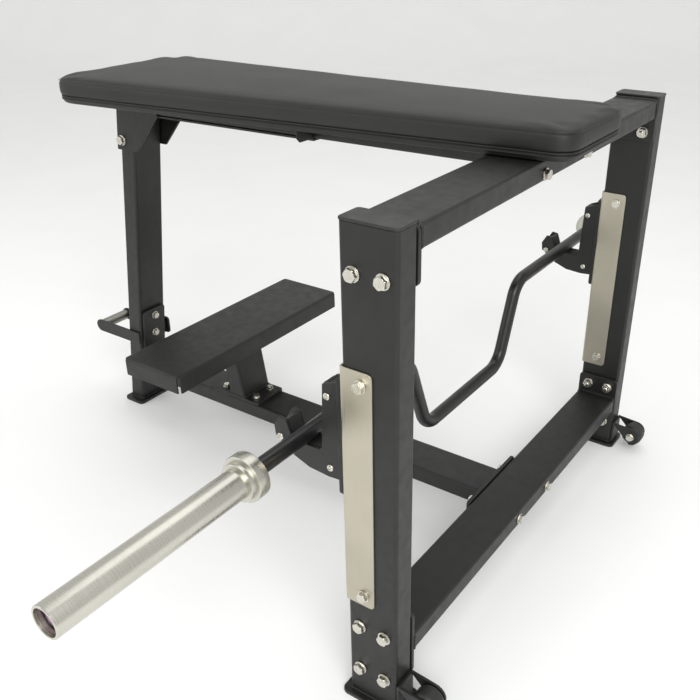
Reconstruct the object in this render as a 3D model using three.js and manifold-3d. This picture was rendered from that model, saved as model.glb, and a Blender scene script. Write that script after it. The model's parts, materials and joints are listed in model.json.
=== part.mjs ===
// Seal-row bench with a cambered row bar: two wheeled uprights, a padded bench on a spine beam,
// a leaning rear leg, a foot step, J-hooks that hold the bar, and spinning plate sleeves.
// Units are millimetres, +Z is up. X runs along the pad towards the uprights, Y runs along the bar.
// Dimensions are given from the uprights' front face (x = 0), the mid plane (y = 0) and the floor (z = 0).
import * as THREE from 'three';
import { mergeVertices } from 'three/addons/utils/BufferGeometryUtils.js';
import Module from 'manifold-3d';

const wasm = await Module();
wasm.setup();

// ---------- driving dimensions ----------
const GAP = 0.3;                       // clearance between touching pieces
const SEAM = 0.01;                     // how far two joined solids reach into each other
const PLATE = 8;                       // welded flange and base plate thickness
const WALL = 3;                        // tube wall

const UPRIGHT = { x: 100, y: 50, spacing: 1052, top: 911, radius: 7 };
const CAP = { overhang: 1, thickness: 4.7 };
const BASE_PLATE = { x: 124, y: 76, radius: 12 };
const UPRIGHT_MID_X = -UPRIGHT.x / 2;

const BEAM = { width: 100, height: 40, radius: 6 };
const BEAM_FLANGE = { width: 102, radius: 10 };
const TOP_BEAM = { top: 908, flangeLow: 815, flangeHigh: 908, boltZ: [837] };
const LOWER_BEAM = { top: 147, flangeLow: 57, flangeHigh: 199, boltZ: [73.7, 174.5] };
const BOLT_X = [-75, -24];
const BOTTOM_BEAM = {
  top: 142, flangeWidth: 216, flangeHeight: 44, legFlangeTop: 300, legFlangeWidth: 76, legFlangeDrop: 12,
};

const LEG = { x: 50, y: 90, lean: 8.9, pivotX: -1134.3, pivotZ: 781, top: 850, radius: 7 };
const LEG_FOOT = { x: 72, y: 126, radius: 12, offset: 2 };
const GUSSET = { thickness: 6, low: 760, high: 895, behind: 28, ahead: 41, frontX: -1007, frontLow: 859 };
const GUSSET_BOLT = { x: -1143, z: 785 };

const SPINE = {
  tilt: 0.7, width: 90, height: 40, rear: -1152, flangeWidth: 230, doubler: 5, doublerFront: -541,
};
const PAD = {
  rear: -1190, front: 61, rearHalf: 200, frontHalf: 130, rearCorner: 60, frontCorner: 45, board: 14,
};
const PAD_TOP = 968.5;
const PAD_BEVEL = 8;
const PAD_BRACKET = { x: -543, length: 51, reach: 98, depth: 39.7, corner: 9, sheet: 4 };

const TRAY = { midX: -855, x: 187, y: 602, top: 341, lip: 44, sheet: 4, relief: 5, lipRadius: 8 };
const PEDESTAL = { x: 50, y: 100, lean: -9.2, tubeX: -832, plateX: 158, plateMidX: -838 };

const HANDLE = { armHeight: 35, armThickness: 6, gripX: -1361, gripZ: 218, gripRadius: 14, gripWall: 2 };
const LUG = { x: 44, z: 49, lowZ: 198, frontX: -1187, thickness: 6, radius: 9 };

const GUARD = {
  sheet: 3, frontX: -43, low: 229, high: 686, sideLeaf: 42, radius: 8, boltX: -64, boltZ: [252, 662],
};
const GUARD_BOLT = { grip: 26, scale: 0.9 };
const HOOK = {
  width: 40, sidePlate: 6, backLow: 443, backHigh: 662, low: 468, high: 650, seat: 513,
  skin: 10, liner: 5, linerProud: 1, radius: 8,
};

const BAR = { x: -185, radius: 14, halfLength: 1015, camberTop: 232, camberLow: 160, drop: 184, bend: 38 };
const SLEEVE = { inner: 672, outer: 1042, radius: 25, bore: 21, clearance: 0.5, chamfer: 2 };
const COLLAR = { radius: 39, end: 23, shoulderRadius: 32, shoulderEnd: 33, boreStart: 30 };
const BUSHING_LENGTH = 29;
const END_DISC = { thickness: 6, setBack: 12 };

const WHEEL = { x: 52, z: 42, radius: 27, width: 34, hub: 6, chamfer: 4 };
const WHEEL_BRACKET = { plate: 5, gap: 19.5, endRadius: 24, low: 12, high: 70 };

const BOLT = { shank: 6, washer: 12.5, washerThickness: 2.5, acrossFlats: 19, head: 8, nut: 10.5, tail: 4 };
const HOLE = 7;
const HOLE_SIDES = 8;
const VENT = 10;                       // drain holes that open the closed tube ends

// ---------- finishes ----------
function finish(color, roughness, metalness) {
  return new THREE.MeshStandardMaterial({ color, roughness, metalness });
}

const POWDER_COAT = finish(0x2d2d2c, 0.55, 0.25);
const CAP_PAINT = finish(0x3a3b36, 0.5, 0.2);
const VINYL = finish(0x383836, 0.6, 0.0);
const BOARD = finish(0x2b2b2a, 0.8, 0.0);
const STAINLESS = finish(0xb9b29a, 0.35, 0.9);
const ZINC = finish(0xcfcabc, 0.3, 0.95);
const CHROME = finish(0xc3beb0, 0.25, 1.0);
const BAR_BLACK = finish(0x1f1f1e, 0.4, 0.6);
const PLASTIC = finish(0x171717, 0.6, 0.0);
const RUBBER = finish(0x1b1b1b, 0.8, 0.0);
const BRONZE = finish(0x9a7b45, 0.4, 0.9);
const END_CAP = finish(0x8c6f78, 0.45, 0.3);
const GRIP_STEEL = finish(0x8d8f86, 0.35, 0.8);

// ---------- solid helpers ----------
function toSolid(geometry) {
  const bare = geometry.index ? geometry.clone() : geometry;
  bare.deleteAttribute('normal');
  bare.deleteAttribute('uv');
  const merged = mergeVertices(bare, 1e-4);
  return new wasm.Manifold(new wasm.Mesh({
    numProp: 3,
    vertProperties: new Float32Array(merged.attributes.position.array),
    triVerts: new Uint32Array(merged.index.array),
  }));
}

function toGeometry(solid) {
  const mesh = solid.getMesh();
  const geometry = new THREE.BufferGeometry();
  geometry.setAttribute('position', new THREE.BufferAttribute(mesh.vertProperties, 3));
  geometry.setIndex(new THREE.BufferAttribute(mesh.triVerts, 1));
  geometry.computeVertexNormals();
  return geometry;
}

const join = (...pieces) => toGeometry(pieces.map(toSolid).reduce((all, next) => all.add(next)));

function cut(body, ...tools) {
  return toGeometry(tools.map(toSolid).reduce((left, tool) => left.subtract(tool), toSolid(body)));
}

function box(x0, x1, y0, y1, z0, z1) {
  const geometry = new THREE.BoxGeometry(x1 - x0, y1 - y0, z1 - z0);
  return geometry.translate((x0 + x1) / 2, (y0 + y1) / 2, (z0 + z1) / 2);
}

function cylinderY(radius, x, y0, y1, z, sides = 24) {
  return new THREE.CylinderGeometry(radius, radius, y1 - y0, sides).translate(x, (y0 + y1) / 2, z);
}

function cylinderX(radius, x0, x1, y, z, sides = 24) {
  const geometry = new THREE.CylinderGeometry(radius, radius, x1 - x0, sides);
  return geometry.rotateZ(Math.PI / 2).translate((x0 + x1) / 2, y, z);
}

function cylinderZ(radius, x, y, z0, z1, sides = 24) {
  const geometry = new THREE.CylinderGeometry(radius, radius, z1 - z0, sides);
  return geometry.rotateX(Math.PI / 2).translate(x, y, (z0 + z1) / 2);
}

// Ring-shaped solid turned about Y from a closed (radius, y) profile.
const lathe = (profile, sides) =>
  new THREE.LatheGeometry(profile.map(([r, y]) => new THREE.Vector2(r, y)), sides);

// Rounded outline centred on (cx, cy); three.js turns the corner arcs into short chords.
function roundedRect(width, height, radius, cx = 0, cy = 0) {
  const shape = new THREE.Shape();
  const w = width / 2;
  const h = height / 2;
  shape.moveTo(cx + w, cy - h + radius);
  shape.absarc(cx + w - radius, cy + h - radius, radius, 0, Math.PI / 2);
  shape.absarc(cx - w + radius, cy + h - radius, radius, Math.PI / 2, Math.PI);
  shape.absarc(cx - w + radius, cy - h + radius, radius, Math.PI, 1.5 * Math.PI);
  shape.absarc(cx + w - radius, cy - h + radius, radius, 1.5 * Math.PI, 2 * Math.PI);
  return shape;
}

const extrude = (shape, depth, curveSegments = 2) =>
  new THREE.ExtrudeGeometry(shape, { depth, bevelEnabled: false, curveSegments });

// An outline drawn in (x, z), made into a plate between y0 and y1.
function plateXZ(shape, y0, y1, curveSegments = 2) {
  return extrude(shape, y1 - y0, curveSegments).rotateX(Math.PI / 2).translate(0, y1, 0);
}

// An outline drawn in (y, z), made into a plate between x0 and x1.
function plateYZ(shape, x0, x1, curveSegments = 2) {
  const geometry = extrude(shape, x1 - x0, curveSegments);
  return geometry.rotateX(Math.PI / 2).rotateZ(Math.PI / 2).translate(x0, 0, 0);
}

function polygon(points) {
  const shape = new THREE.Shape();
  points.forEach(([x, y], i) => (i ? shape.lineTo(x, y) : shape.moveTo(x, y)));
  shape.closePath();
  return shape;
}

// Hollow rectangular tube section with rounded corners.
function tubeSection(width, height, radius) {
  const section = roundedRect(width, height, radius);
  section.holes.push(roundedRect(width - 2 * WALL, height - 2 * WALL, Math.max(radius - WALL, 1)));
  return section;
}

const tubeZ = (w, d, r, z0, z1) => extrude(tubeSection(w, d, r), z1 - z0).translate(0, 0, z0);
const tubeY = (w, h, r, y0, y1) => plateXZ(tubeSection(w, h, r), y0, y1);
const tubeX = (w, h, r, x0, x1) => plateYZ(tubeSection(w, h, r), x0, x1);

// Slide every point in X with its height, so a vertical tube leans and its ends stay level.
function lean(geometry, degrees, pivotX, pivotZ) {
  const slope = Math.tan(THREE.MathUtils.degToRad(degrees));
  const shear = new THREE.Matrix4().makeShear(0, 0, 0, 0, slope, 0);
  return geometry.applyMatrix4(shear).translate(pivotX - slope * pivotZ, 0, 0);
}

// Hex prism along Z with its base at z = 0.
function hexPrism(acrossFlats, height) {
  const radius = acrossFlats / Math.sqrt(3);
  const prism = new THREE.CylinderGeometry(radius, radius, height, 6);
  return prism.rotateX(Math.PI / 2).translate(0, 0, height / 2);
}

// Bolt with washer, head on +Z; grip is what lies between the washers. No nut when nutSide is false.
function boltGeometry(grip, nutSide = true, scale = 1) {
  const washer = BOLT.washerThickness;
  const low = nutSide ? -(grip + 2 * GAP + washer + BOLT.nut + BOLT.tail) : -grip;
  const solids = [
    cylinderZ(BOLT.washer * scale, 0, 0, GAP, GAP + washer, 12),
    hexPrism(BOLT.acrossFlats * scale, BOLT.head).translate(0, 0, GAP + washer - SEAM),
    cylinderZ(BOLT.shank * scale, 0, 0, low, GAP + washer, HOLE_SIDES),
  ];
  if (nutSide) {
    const under = -(grip + GAP);
    solids.push(cylinderZ(BOLT.washer * scale, 0, 0, under - washer, under, 12));
    const nut = hexPrism(BOLT.acrossFlats * scale, BOLT.nut);
    solids.push(nut.translate(0, 0, under - washer - BOLT.nut + SEAM));
  }
  return join(...solids);
}

const group = new THREE.Group();

function add(name, geometry, material) {
  const mesh = new THREE.Mesh(geometry, material);
  mesh.name = name;
  group.add(mesh);
  return mesh;
}

const SIDES = [['left', 1], ['right', -1]];
const halfSpacing = UPRIGHT.spacing / 2;
const innerFace = halfSpacing - UPRIGHT.y / 2;
const outerFace = halfSpacing + UPRIGHT.y / 2;

// ---------- uprights ----------
function uprightGeometry(y) {
  const tube = tubeZ(UPRIGHT.x, UPRIGHT.y, UPRIGHT.radius, PLATE + GAP, UPRIGHT.top);
  const through = [...TOP_BEAM.boltZ, ...LOWER_BEAM.boltZ].flatMap((z) =>
    BOLT_X.map((x) => cylinderY(HOLE, x, y - UPRIGHT.y, y + UPRIGHT.y, z, HOLE_SIDES)));
  const guardHoles = GUARD.boltZ.map((z) => cylinderY(HOLE, GUARD.boltX, y - UPRIGHT.y, y, z, HOLE_SIDES));
  return cut(tube.translate(UPRIGHT_MID_X, y, 0), ...through, ...guardHoles);
}

function capGeometry(y) {
  const width = UPRIGHT.x + 2 * CAP.overhang;
  const depth = UPRIGHT.y + 2 * CAP.overhang;
  const outline = roundedRect(width, depth, UPRIGHT.radius, UPRIGHT_MID_X, y);
  return extrude(outline, CAP.thickness).translate(0, 0, UPRIGHT.top + GAP);
}

function basePlateGeometry(y) {
  return extrude(roundedRect(BASE_PLATE.x, BASE_PLATE.y, BASE_PLATE.radius, UPRIGHT_MID_X, y), PLATE);
}

// Two flat arms that narrow to a round end, joined by a strap on the upright, that hold the wheel.
function wheelBracketGeometry(y) {
  const { plate, gap, endRadius, low, high } = WHEEL_BRACKET;
  const arm = new THREE.Shape();
  arm.moveTo(GAP, low);
  arm.absarc(WHEEL.x, WHEEL.z, endRadius, -Math.PI / 2, Math.PI / 2);
  arm.lineTo(GAP, high);
  arm.closePath();
  const far = gap + plate;
  const arms = [plateXZ(arm, y - far, y - gap, 5), plateXZ(arm, y + gap, y + far, 5)];
  const strap = box(GAP, GAP + plate, y - far, y + far, low, high);
  const bore = cylinderY(WHEEL.hub + 1, WHEEL.x, y - 2 * far, y + 2 * far, WHEEL.z, HOLE_SIDES);
  return cut(join(...arms, strap), bore);
}

function wheelGeometry() {
  const w = WHEEL.width / 2;
  const r = WHEEL.radius;
  const c = WHEEL.chamfer;
  const bore = WHEEL.hub + 1;
  return lathe([[bore, -w], [r - c, -w], [r, -w + c], [r, w - c], [r - c, w], [bore, w], [bore, -w]], 24);
}

// Axle bolt with a hex head at one end and a nut at the other.
function wheelAxleGeometry(y) {
  const reach = WHEEL_BRACKET.gap + WHEEL_BRACKET.plate + GAP;
  const headHeight = BOLT.head;
  const head = hexPrism(BOLT.acrossFlats, headHeight).rotateX(-Math.PI / 2);
  const pin = cylinderY(WHEEL.hub, 0, -reach - headHeight / 2, reach + headHeight / 2, 0, HOLE_SIDES);
  const nut = head.clone().translate(0, -reach - headHeight, 0);
  return join(pin, head.translate(0, reach, 0), nut).translate(WHEEL.x, y, WHEEL.z);
}

for (const [side, sign] of SIDES) {
  const y = sign * halfSpacing;
  add(`upright_${side}`, uprightGeometry(y), POWDER_COAT);
  add(`upright_cap_${side}`, capGeometry(y), CAP_PAINT);
  add(`base_plate_${side}`, basePlateGeometry(y), POWDER_COAT);
  add(`wheel_bracket_${side}`, wheelBracketGeometry(y), POWDER_COAT);
  add(`wheel_${side}`, wheelGeometry(), RUBBER).position.set(WHEEL.x, y, WHEEL.z);
  add(`wheel_axle_${side}`, wheelAxleGeometry(y), ZINC);
}

// ---------- crossbeams between the uprights ----------
// A beam along Y with a bolted flange plate at each end; the plates' centre holes open the tube.
function crossbeamGeometry({ top, flangeLow, flangeHigh, boltZ }) {
  const midZ = top - BEAM.height / 2;
  const end = innerFace - GAP;
  const tube = tubeY(BEAM.width, BEAM.height, BEAM.radius, -end + PLATE - SEAM, end - PLATE + SEAM);
  const flange = roundedRect(BEAM_FLANGE.width, flangeHigh - flangeLow, BEAM_FLANGE.radius,
    UPRIGHT_MID_X, (flangeHigh + flangeLow) / 2);
  const plates = [plateXZ(flange, -end, -end + PLATE), plateXZ(flange, end - PLATE, end)];
  const drain = cylinderY(VENT, UPRIGHT_MID_X, -outerFace, outerFace, midZ, HOLE_SIDES);
  const holes = boltZ.flatMap((z) =>
    BOLT_X.map((x) => cylinderY(HOLE, x, -outerFace, outerFace, z, HOLE_SIDES)));
  return cut(join(tube.translate(UPRIGHT_MID_X, 0, midZ), ...plates), drain, ...holes);
}

add('top_crossbeam', crossbeamGeometry(TOP_BEAM), POWDER_COAT);
add('lower_crossbeam', crossbeamGeometry(LOWER_BEAM), POWDER_COAT);

// Through bolts: heads on the uprights' outer faces, nuts inside the flange plates.
const boltRows = [
  ...TOP_BEAM.boltZ.map((z) => ['top', z]),
  ...LOWER_BEAM.boltZ.map((z, i) => [`low${i + 1}`, z]),
];
for (const [side, sign] of SIDES) {
  for (const [row, z] of boltRows) {
    BOLT_X.forEach((x, i) => {
      const geometry = boltGeometry(UPRIGHT.y + GAP + PLATE).rotateX(-sign * Math.PI / 2);
      const name = `frame_bolt_${row}_${i ? 'front' : 'rear'}_${side}`;
      add(name, geometry.translate(x, sign * outerFace, z), ZINC);
    });
  }
}

// ---------- bottom beam, rear leg and its foot ----------
const legSlope = Math.tan(THREE.MathUtils.degToRad(LEG.lean));
const legX = (z) => LEG.pivotX + legSlope * (z - LEG.pivotZ);

const onLeg = (geometry) => lean(geometry, LEG.lean, LEG.pivotX, LEG.pivotZ);
const gussetBoltHole = () => cylinderY(HOLE, GUSSET_BOLT.x, -LEG.y, LEG.y, GUSSET_BOLT.z, HOLE_SIDES);

function legGeometry() {
  return cut(onLeg(tubeZ(LEG.x, LEG.y, LEG.radius, PLATE + GAP, LEG.top)), gussetBoltHole());
}

const legFlangeX = LEG.x / 2 + 2 * GAP;

// Leaning plate that stands against the leg's front face.
function legFlangeGeometry() {
  const low = BOTTOM_BEAM.top - BEAM.height - BOTTOM_BEAM.legFlangeDrop;
  const high = BOTTOM_BEAM.legFlangeTop;
  const width = BOTTOM_BEAM.legFlangeWidth;
  const outline = roundedRect(width, high - low, BEAM_FLANGE.radius, 0, (high + low) / 2);
  return onLeg(plateYZ(outline, legFlangeX, legFlangeX + PLATE));
}

function bottomBeamGeometry() {
  const midZ = BOTTOM_BEAM.top - BEAM.height / 2;
  const front = -UPRIGHT.x - GAP;
  const rear = legX(midZ) + LEG.x / 2;
  const tube = tubeX(BEAM.width, BEAM.height, BEAM.radius, rear, front - PLATE + SEAM).translate(0, 0, midZ);
  const flangeMidZ = LOWER_BEAM.top - BEAM.height / 2;
  const { flangeWidth, flangeHeight } = BOTTOM_BEAM;
  const flangeOutline = roundedRect(flangeWidth, flangeHeight, BEAM.radius, 0, flangeMidZ);
  const frontFlange = plateYZ(flangeOutline, front - PLATE, front);
  const legSpace = onLeg(box(-LEG.y, legFlangeX + SEAM, -LEG.y, LEG.y, 0, midZ * 2));
  const drain = cylinderX(VENT, rear - LEG.x, front + PLATE, 0, midZ, HOLE_SIDES);
  return cut(join(cut(tube, legSpace), frontFlange, legFlangeGeometry()), drain);
}

function footPlateGeometry() {
  const { x, y, radius, offset } = LEG_FOOT;
  return extrude(roundedRect(x, y, radius, legX(PLATE) + offset, 0), PLATE);
}

add('rear_leg', legGeometry(), POWDER_COAT);
add('bottom_beam', bottomBeamGeometry(), POWDER_COAT);
add('rear_foot_plate', footPlateGeometry(), POWDER_COAT);

// The rear edge follows the leg, and the lower front corner is cut off on a slope.
const gussetOutline = polygon([
  [legX(GUSSET.high) - GUSSET.behind, GUSSET.high], [legX(GUSSET.low) - GUSSET.behind, GUSSET.low],
  [legX(GUSSET.low) + GUSSET.ahead, GUSSET.low],
  [GUSSET.frontX, GUSSET.frontLow], [GUSSET.frontX, GUSSET.high],
]);
for (const [side, sign] of SIDES) {
  const near = sign * (LEG.y / 2 + GAP);
  const far = near + sign * GUSSET.thickness;
  const plate = plateXZ(gussetOutline, Math.min(near, far), Math.max(near, far));
  add(`gusset_${side}`, cut(plate, gussetBoltHole()), POWDER_COAT);
}
const gussetGrip = LEG.y + 2 * (GUSSET.thickness + GAP);
const gussetBolt = boltGeometry(gussetGrip).rotateX(Math.PI / 2);
add('gusset_bolt', gussetBolt.translate(GUSSET_BOLT.x, -gussetGrip / 2, GUSSET_BOLT.z), ZINC);

// ---------- spine beam and pad, tilted slightly down to the rear ----------
const spineFront = -UPRIGHT.x - GAP;
const SPINE_TOP = TOP_BEAM.top + 0.5;
const BOARD_LOW = TOP_BEAM.top + 1.5;

// Turn a level piece down towards the rear about the spine's front end.
function onSpine(geometry) {
  geometry.translate(-spineFront, 0, -SPINE_TOP);
  geometry.rotateY(THREE.MathUtils.degToRad(-SPINE.tilt));
  return geometry.translate(spineFront, 0, SPINE_TOP);
}

function spineGeometry() {
  const midZ = SPINE_TOP - SPINE.height / 2;
  const tube = tubeX(SPINE.width, SPINE.height, BEAM.radius, SPINE.rear, spineFront - PLATE / 2);
  const flangeOutline = roundedRect(SPINE.flangeWidth, SPINE.height, BEAM.radius, 0, midZ);
  const flange = plateYZ(flangeOutline, spineFront - PLATE, spineFront);
  const drain = cylinderX(VENT, spineFront - 2 * PLATE, spineFront + PLATE, 0, midZ, HOLE_SIDES);
  const under = SPINE_TOP - SPINE.height;
  const half = SPINE.width / 2;
  const doubler = box(SPINE.rear, SPINE.doublerFront, -half, half, under - SPINE.doubler, under + SEAM);
  return cut(join(onSpine(tube.translate(0, 0, midZ)), onSpine(doubler), flange), drain);
}

// Pad outline in plan: narrower at the front end, with generous rounded corners.
function padOutline(inset) {
  const rear = PAD.rear + inset;
  const front = PAD.front - inset;
  const a = PAD.rearHalf - inset;
  const b = PAD.frontHalf - inset;
  const c = PAD.rearCorner - inset;
  const d = PAD.frontCorner - inset;
  const shape = new THREE.Shape();
  shape.moveTo(rear + c, -a);
  shape.lineTo(front - d, -b);
  shape.quadraticCurveTo(front, -b, front, -b + d);
  shape.lineTo(front, b - d);
  shape.quadraticCurveTo(front, b, front - d, b);
  shape.lineTo(rear + c, a);
  shape.quadraticCurveTo(rear, a, rear, a - c);
  shape.lineTo(rear, -a + c);
  shape.quadraticCurveTo(rear, -a, rear + c, -a);
  return shape;
}

function padBoardGeometry() {
  return onSpine(extrude(padOutline(PAD_BEVEL + 1), PAD.board, 5).translate(0, 0, BOARD_LOW));
}

function padGeometry() {
  const low = BOARD_LOW + PAD.board + GAP;
  const body = new THREE.ExtrudeGeometry(padOutline(PAD_BEVEL), {
    depth: PAD_TOP - low - 2 * PAD_BEVEL,
    bevelEnabled: true,
    bevelSize: PAD_BEVEL,
    bevelThickness: PAD_BEVEL,
    bevelSegments: 2,
    curveSegments: 5,
  });
  return onSpine(body.translate(0, 0, low + PAD_BEVEL));
}

// T-shaped wing welded to the spine's side: a shelf under the board on an upright web.
function padBracketGeometry(sign) {
  const { x, length, reach, depth, corner, sheet } = PAD_BRACKET;
  const top = BOARD_LOW - GAP;
  const root = SPINE.width / 2 + GAP;
  const shelf = box(x - length / 2, x + length / 2, root, reach, top - sheet, top);
  const webOutline = polygon([
    [root, top - depth], [reach - corner, top - depth], [reach, top - depth + corner],
    [reach, top - SEAM], [root, top - SEAM],
  ]);
  const wing = join(shelf, plateYZ(webOutline, x - sheet / 2, x + sheet / 2));
  return onSpine(sign > 0 ? wing : wing.rotateZ(Math.PI).translate(2 * x, 0, 0));
}

add('spine_beam', spineGeometry(), POWDER_COAT);
add('pad_board', padBoardGeometry(), BOARD);
add('bench_pad', padGeometry(), VINYL);
for (const [side, sign] of SIDES) {
  add(`pad_bracket_${side}`, padBracketGeometry(sign), POWDER_COAT);
}

// ---------- carry handle on the rear leg ----------
function handleArmGeometry(sign) {
  const h = HANDLE.armHeight / 2;
  const outline = new THREE.Shape();
  const length = legX(HANDLE.gripZ) + LEG.x / 2 - HANDLE.gripX;
  outline.moveTo(0, -h);
  outline.lineTo(length, -h);
  outline.lineTo(length, h);
  outline.lineTo(0, h);
  outline.absarc(0, 0, h, Math.PI / 2, 1.5 * Math.PI);
  const near = sign * (LEG.y / 2 + GAP);
  const far = near + sign * HANDLE.armThickness;
  const arm = plateXZ(outline, Math.min(near, far), Math.max(near, far), 5);
  return arm.translate(HANDLE.gripX, 0, HANDLE.gripZ);
}

for (const [side, sign] of SIDES) {
  add(`handle_arm_${side}`, handleArmGeometry(sign), POWDER_COAT);
}

function gripGeometry() {
  const { gripX, gripZ, gripRadius, gripWall } = HANDLE;
  const end = LEG.y / 2;
  return cut(cylinderY(gripRadius, gripX, -end, end, gripZ, 20),
    cylinderY(gripRadius - gripWall, gripX, -2 * end, 2 * end, gripZ, 12));
}

add('handle_grip', gripGeometry(), GRIP_STEEL);

// Lug on the outside of the left handle arm.
const lugOutline = roundedRect(LUG.x, LUG.z, LUG.radius, LUG.frontX - LUG.x / 2, LUG.lowZ + LUG.z / 2);
const lugFace = LEG.y / 2 + HANDLE.armThickness + 2 * GAP;
add('leg_lug', plateXZ(lugOutline, lugFace, lugFace + LUG.thickness), POWDER_COAT);

// ---------- foot step ----------
// A lip hanging from a level top edge, with its two lower corners rounded.
function lipOutline(width, height, radius, midX, top) {
  const half = width / 2;
  const shape = new THREE.Shape();
  shape.moveTo(midX + half, top);
  shape.lineTo(midX - half, top);
  shape.absarc(midX - half + radius, top - height + radius, radius, Math.PI, 1.5 * Math.PI);
  shape.absarc(midX + half - radius, top - height + radius, radius, 1.5 * Math.PI, 2 * Math.PI);
  shape.closePath();
  return shape;
}

function trayGeometry() {
  const { midX, x, y, top, lip, sheet, relief, lipRadius } = TRAY;
  const x0 = midX - x / 2;
  const x1 = midX + x / 2;
  const deck = box(x0 + sheet / 2, x1 - sheet / 2, -(y - sheet) / 2, (y - sheet) / 2, top - sheet, top);
  const longLip = lipOutline(y - 2 * relief, lip, lipRadius, 0, top);
  const shortLip = lipOutline(x - 2 * relief, lip, lipRadius, midX, top);
  return join(
    deck,
    plateYZ(longLip, x0, x0 + sheet),
    plateYZ(longLip, x1 - sheet, x1),
    plateXZ(shortLip, -y / 2, -y / 2 + sheet),
    plateXZ(shortLip, y / 2 - sheet, y / 2),
  );
}

function pedestalGeometry() {
  const foot = BOTTOM_BEAM.top + GAP;
  const plateTop = foot + PLATE;
  const tube = lean(tubeZ(PEDESTAL.x, PEDESTAL.y, BEAM.radius, plateTop - SEAM, TRAY.top - TRAY.sheet - GAP),
    PEDESTAL.lean, PEDESTAL.tubeX, plateTop);
  const plate = extrude(roundedRect(PEDESTAL.plateX, PEDESTAL.y, BEAM.radius, PEDESTAL.plateMidX, 0), PLATE);
  return join(tube, plate.translate(0, 0, foot));
}

add('step_tray', trayGeometry(), POWDER_COAT);
add('step_pedestal', pedestalGeometry(), POWDER_COAT);

// ---------- stainless guards: an angle sheet round the rear corner of each upright's -Y face ----------
function guardGeometry(y) {
  const face = y - UPRIGHT.y / 2 - GAP;
  const rearX = -UPRIGHT.x - GAP;
  const mid = (GUARD.low + GUARD.high) / 2;
  const height = GUARD.high - GUARD.low;
  const width = GUARD.frontX - (rearX - GUARD.sheet);
  const leafMid = (GUARD.frontX + rearX - GUARD.sheet) / 2;
  const leafOutline = roundedRect(width, height, GUARD.radius, leafMid, mid);
  const leaf = plateXZ(leafOutline, face - GUARD.sheet, face);
  const sideMid = face - GUARD.sheet + GUARD.sideLeaf / 2;
  const sideOutline = roundedRect(GUARD.sideLeaf, height, GUARD.radius, sideMid, mid);
  const side = plateYZ(sideOutline, rearX - GUARD.sheet, rearX);
  const corner = box(rearX - GUARD.sheet, rearX, face - GUARD.sheet, face + GUARD.radius,
    GUARD.low + GUARD.radius, GUARD.high - GUARD.radius);
  const holes = GUARD.boltZ.map((z) =>
    cylinderY(HOLE, GUARD.boltX, face - PLATE, face + PLATE, z, HOLE_SIDES));
  return cut(join(leaf, side, corner), ...holes);
}

for (const [side, sign] of SIDES) {
  const y = sign * halfSpacing;
  add(`guard_${side}`, guardGeometry(y), STAINLESS);
  GUARD.boltZ.forEach((z, i) => {
    const geometry = boltGeometry(GUARD_BOLT.grip, false, GUARD_BOLT.scale).rotateX(Math.PI / 2);
    const face = y - UPRIGHT.y / 2 - GAP - GUARD.sheet;
    add(`guard_bolt_${i ? 'top' : 'low'}_${side}`, geometry.translate(GUARD.boltX, face, z), ZINC);
  });
}

// ---------- J-hooks ----------
const hookBack = -UPRIGHT.x - 2 * GAP - GUARD.sheet;
const hookFront = hookBack - PLATE;

// The open edge that the bar meets, from the top of the back down to the seat and up the lip.
const HOOK_EDGE = [[-143, 638], [-148, 520], [-154, HOOK.seat], [-210, HOOK.seat], [-222, 545]];
const HOOK_UNDER = [[-236, 547], [-248, 527], [-246, 508], [-208, 481], [-176, 469], [-137, 466]];
const HOOK_CORE = [[-232, 540], [-240, 526], [-236, 512], [-208, 490], [-170, 480]];

// Shift an open line sideways, mitred at its corners; a positive distance moves it into the hook.
function shiftLine(points, distance) {
  const normals = points.slice(1).map(([x, z], i) => {
    const dx = x - points[i][0];
    const dz = z - points[i][1];
    const length = Math.hypot(dx, dz);
    return [-dz / length, dx / length];
  });
  return points.map(([x, z], i) => {
    const a = normals[Math.max(i - 1, 0)];
    const b = normals[Math.min(i, normals.length - 1)];
    const scale = distance / (1 + a[0] * b[0] + a[1] * b[1]);
    return [x + (a[0] + b[0]) * scale, z + (a[1] + b[1]) * scale];
  });
}

function hookGeometry(y) {
  const half = HOOK.width / 2;
  const root = hookFront + SEAM;
  const cheek = polygon([[root, HOOK.low], [root, HOOK.high], ...HOOK_EDGE, ...HOOK_UNDER]);
  const core = polygon([[root, HOOK.low + HOOK.skin], [root, HOOK.high - HOOK.skin],
    ...shiftLine(HOOK_EDGE, HOOK.liner + GAP), ...HOOK_CORE]);
  const backMid = (HOOK.backHigh + HOOK.backLow) / 2;
  const back = roundedRect(UPRIGHT.y, HOOK.backHigh - HOOK.backLow, HOOK.radius, y, backMid);
  return join(
    plateXZ(cheek, y - half, y - half + HOOK.sidePlate),
    plateXZ(cheek, y + half - HOOK.sidePlate, y + half),
    plateXZ(core, y - half + HOOK.sidePlate - SEAM, y + half - HOOK.sidePlate + SEAM),
    plateYZ(back, hookFront, hookBack),
  );
}

// Strip between the hook's two side plates, standing slightly proud of their edges.
function linerGeometry(y) {
  const half = HOOK.width / 2 - HOOK.sidePlate - GAP;
  const outer = shiftLine(HOOK_EDGE, -HOOK.linerProud);
  const inner = shiftLine(HOOK_EDGE, HOOK.liner).reverse();
  return plateXZ(polygon([...outer, ...inner]), y - half, y + half);
}

for (const [side, sign] of SIDES) {
  add(`hook_${side}`, hookGeometry(sign * halfSpacing), POWDER_COAT);
  add(`hook_liner_${side}`, linerGeometry(sign * halfSpacing), PLASTIC);
}

// ---------- cambered bar ----------
const barZ = HOOK.seat + HOOK.linerProud + GAP + BAR.radius;

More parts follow.
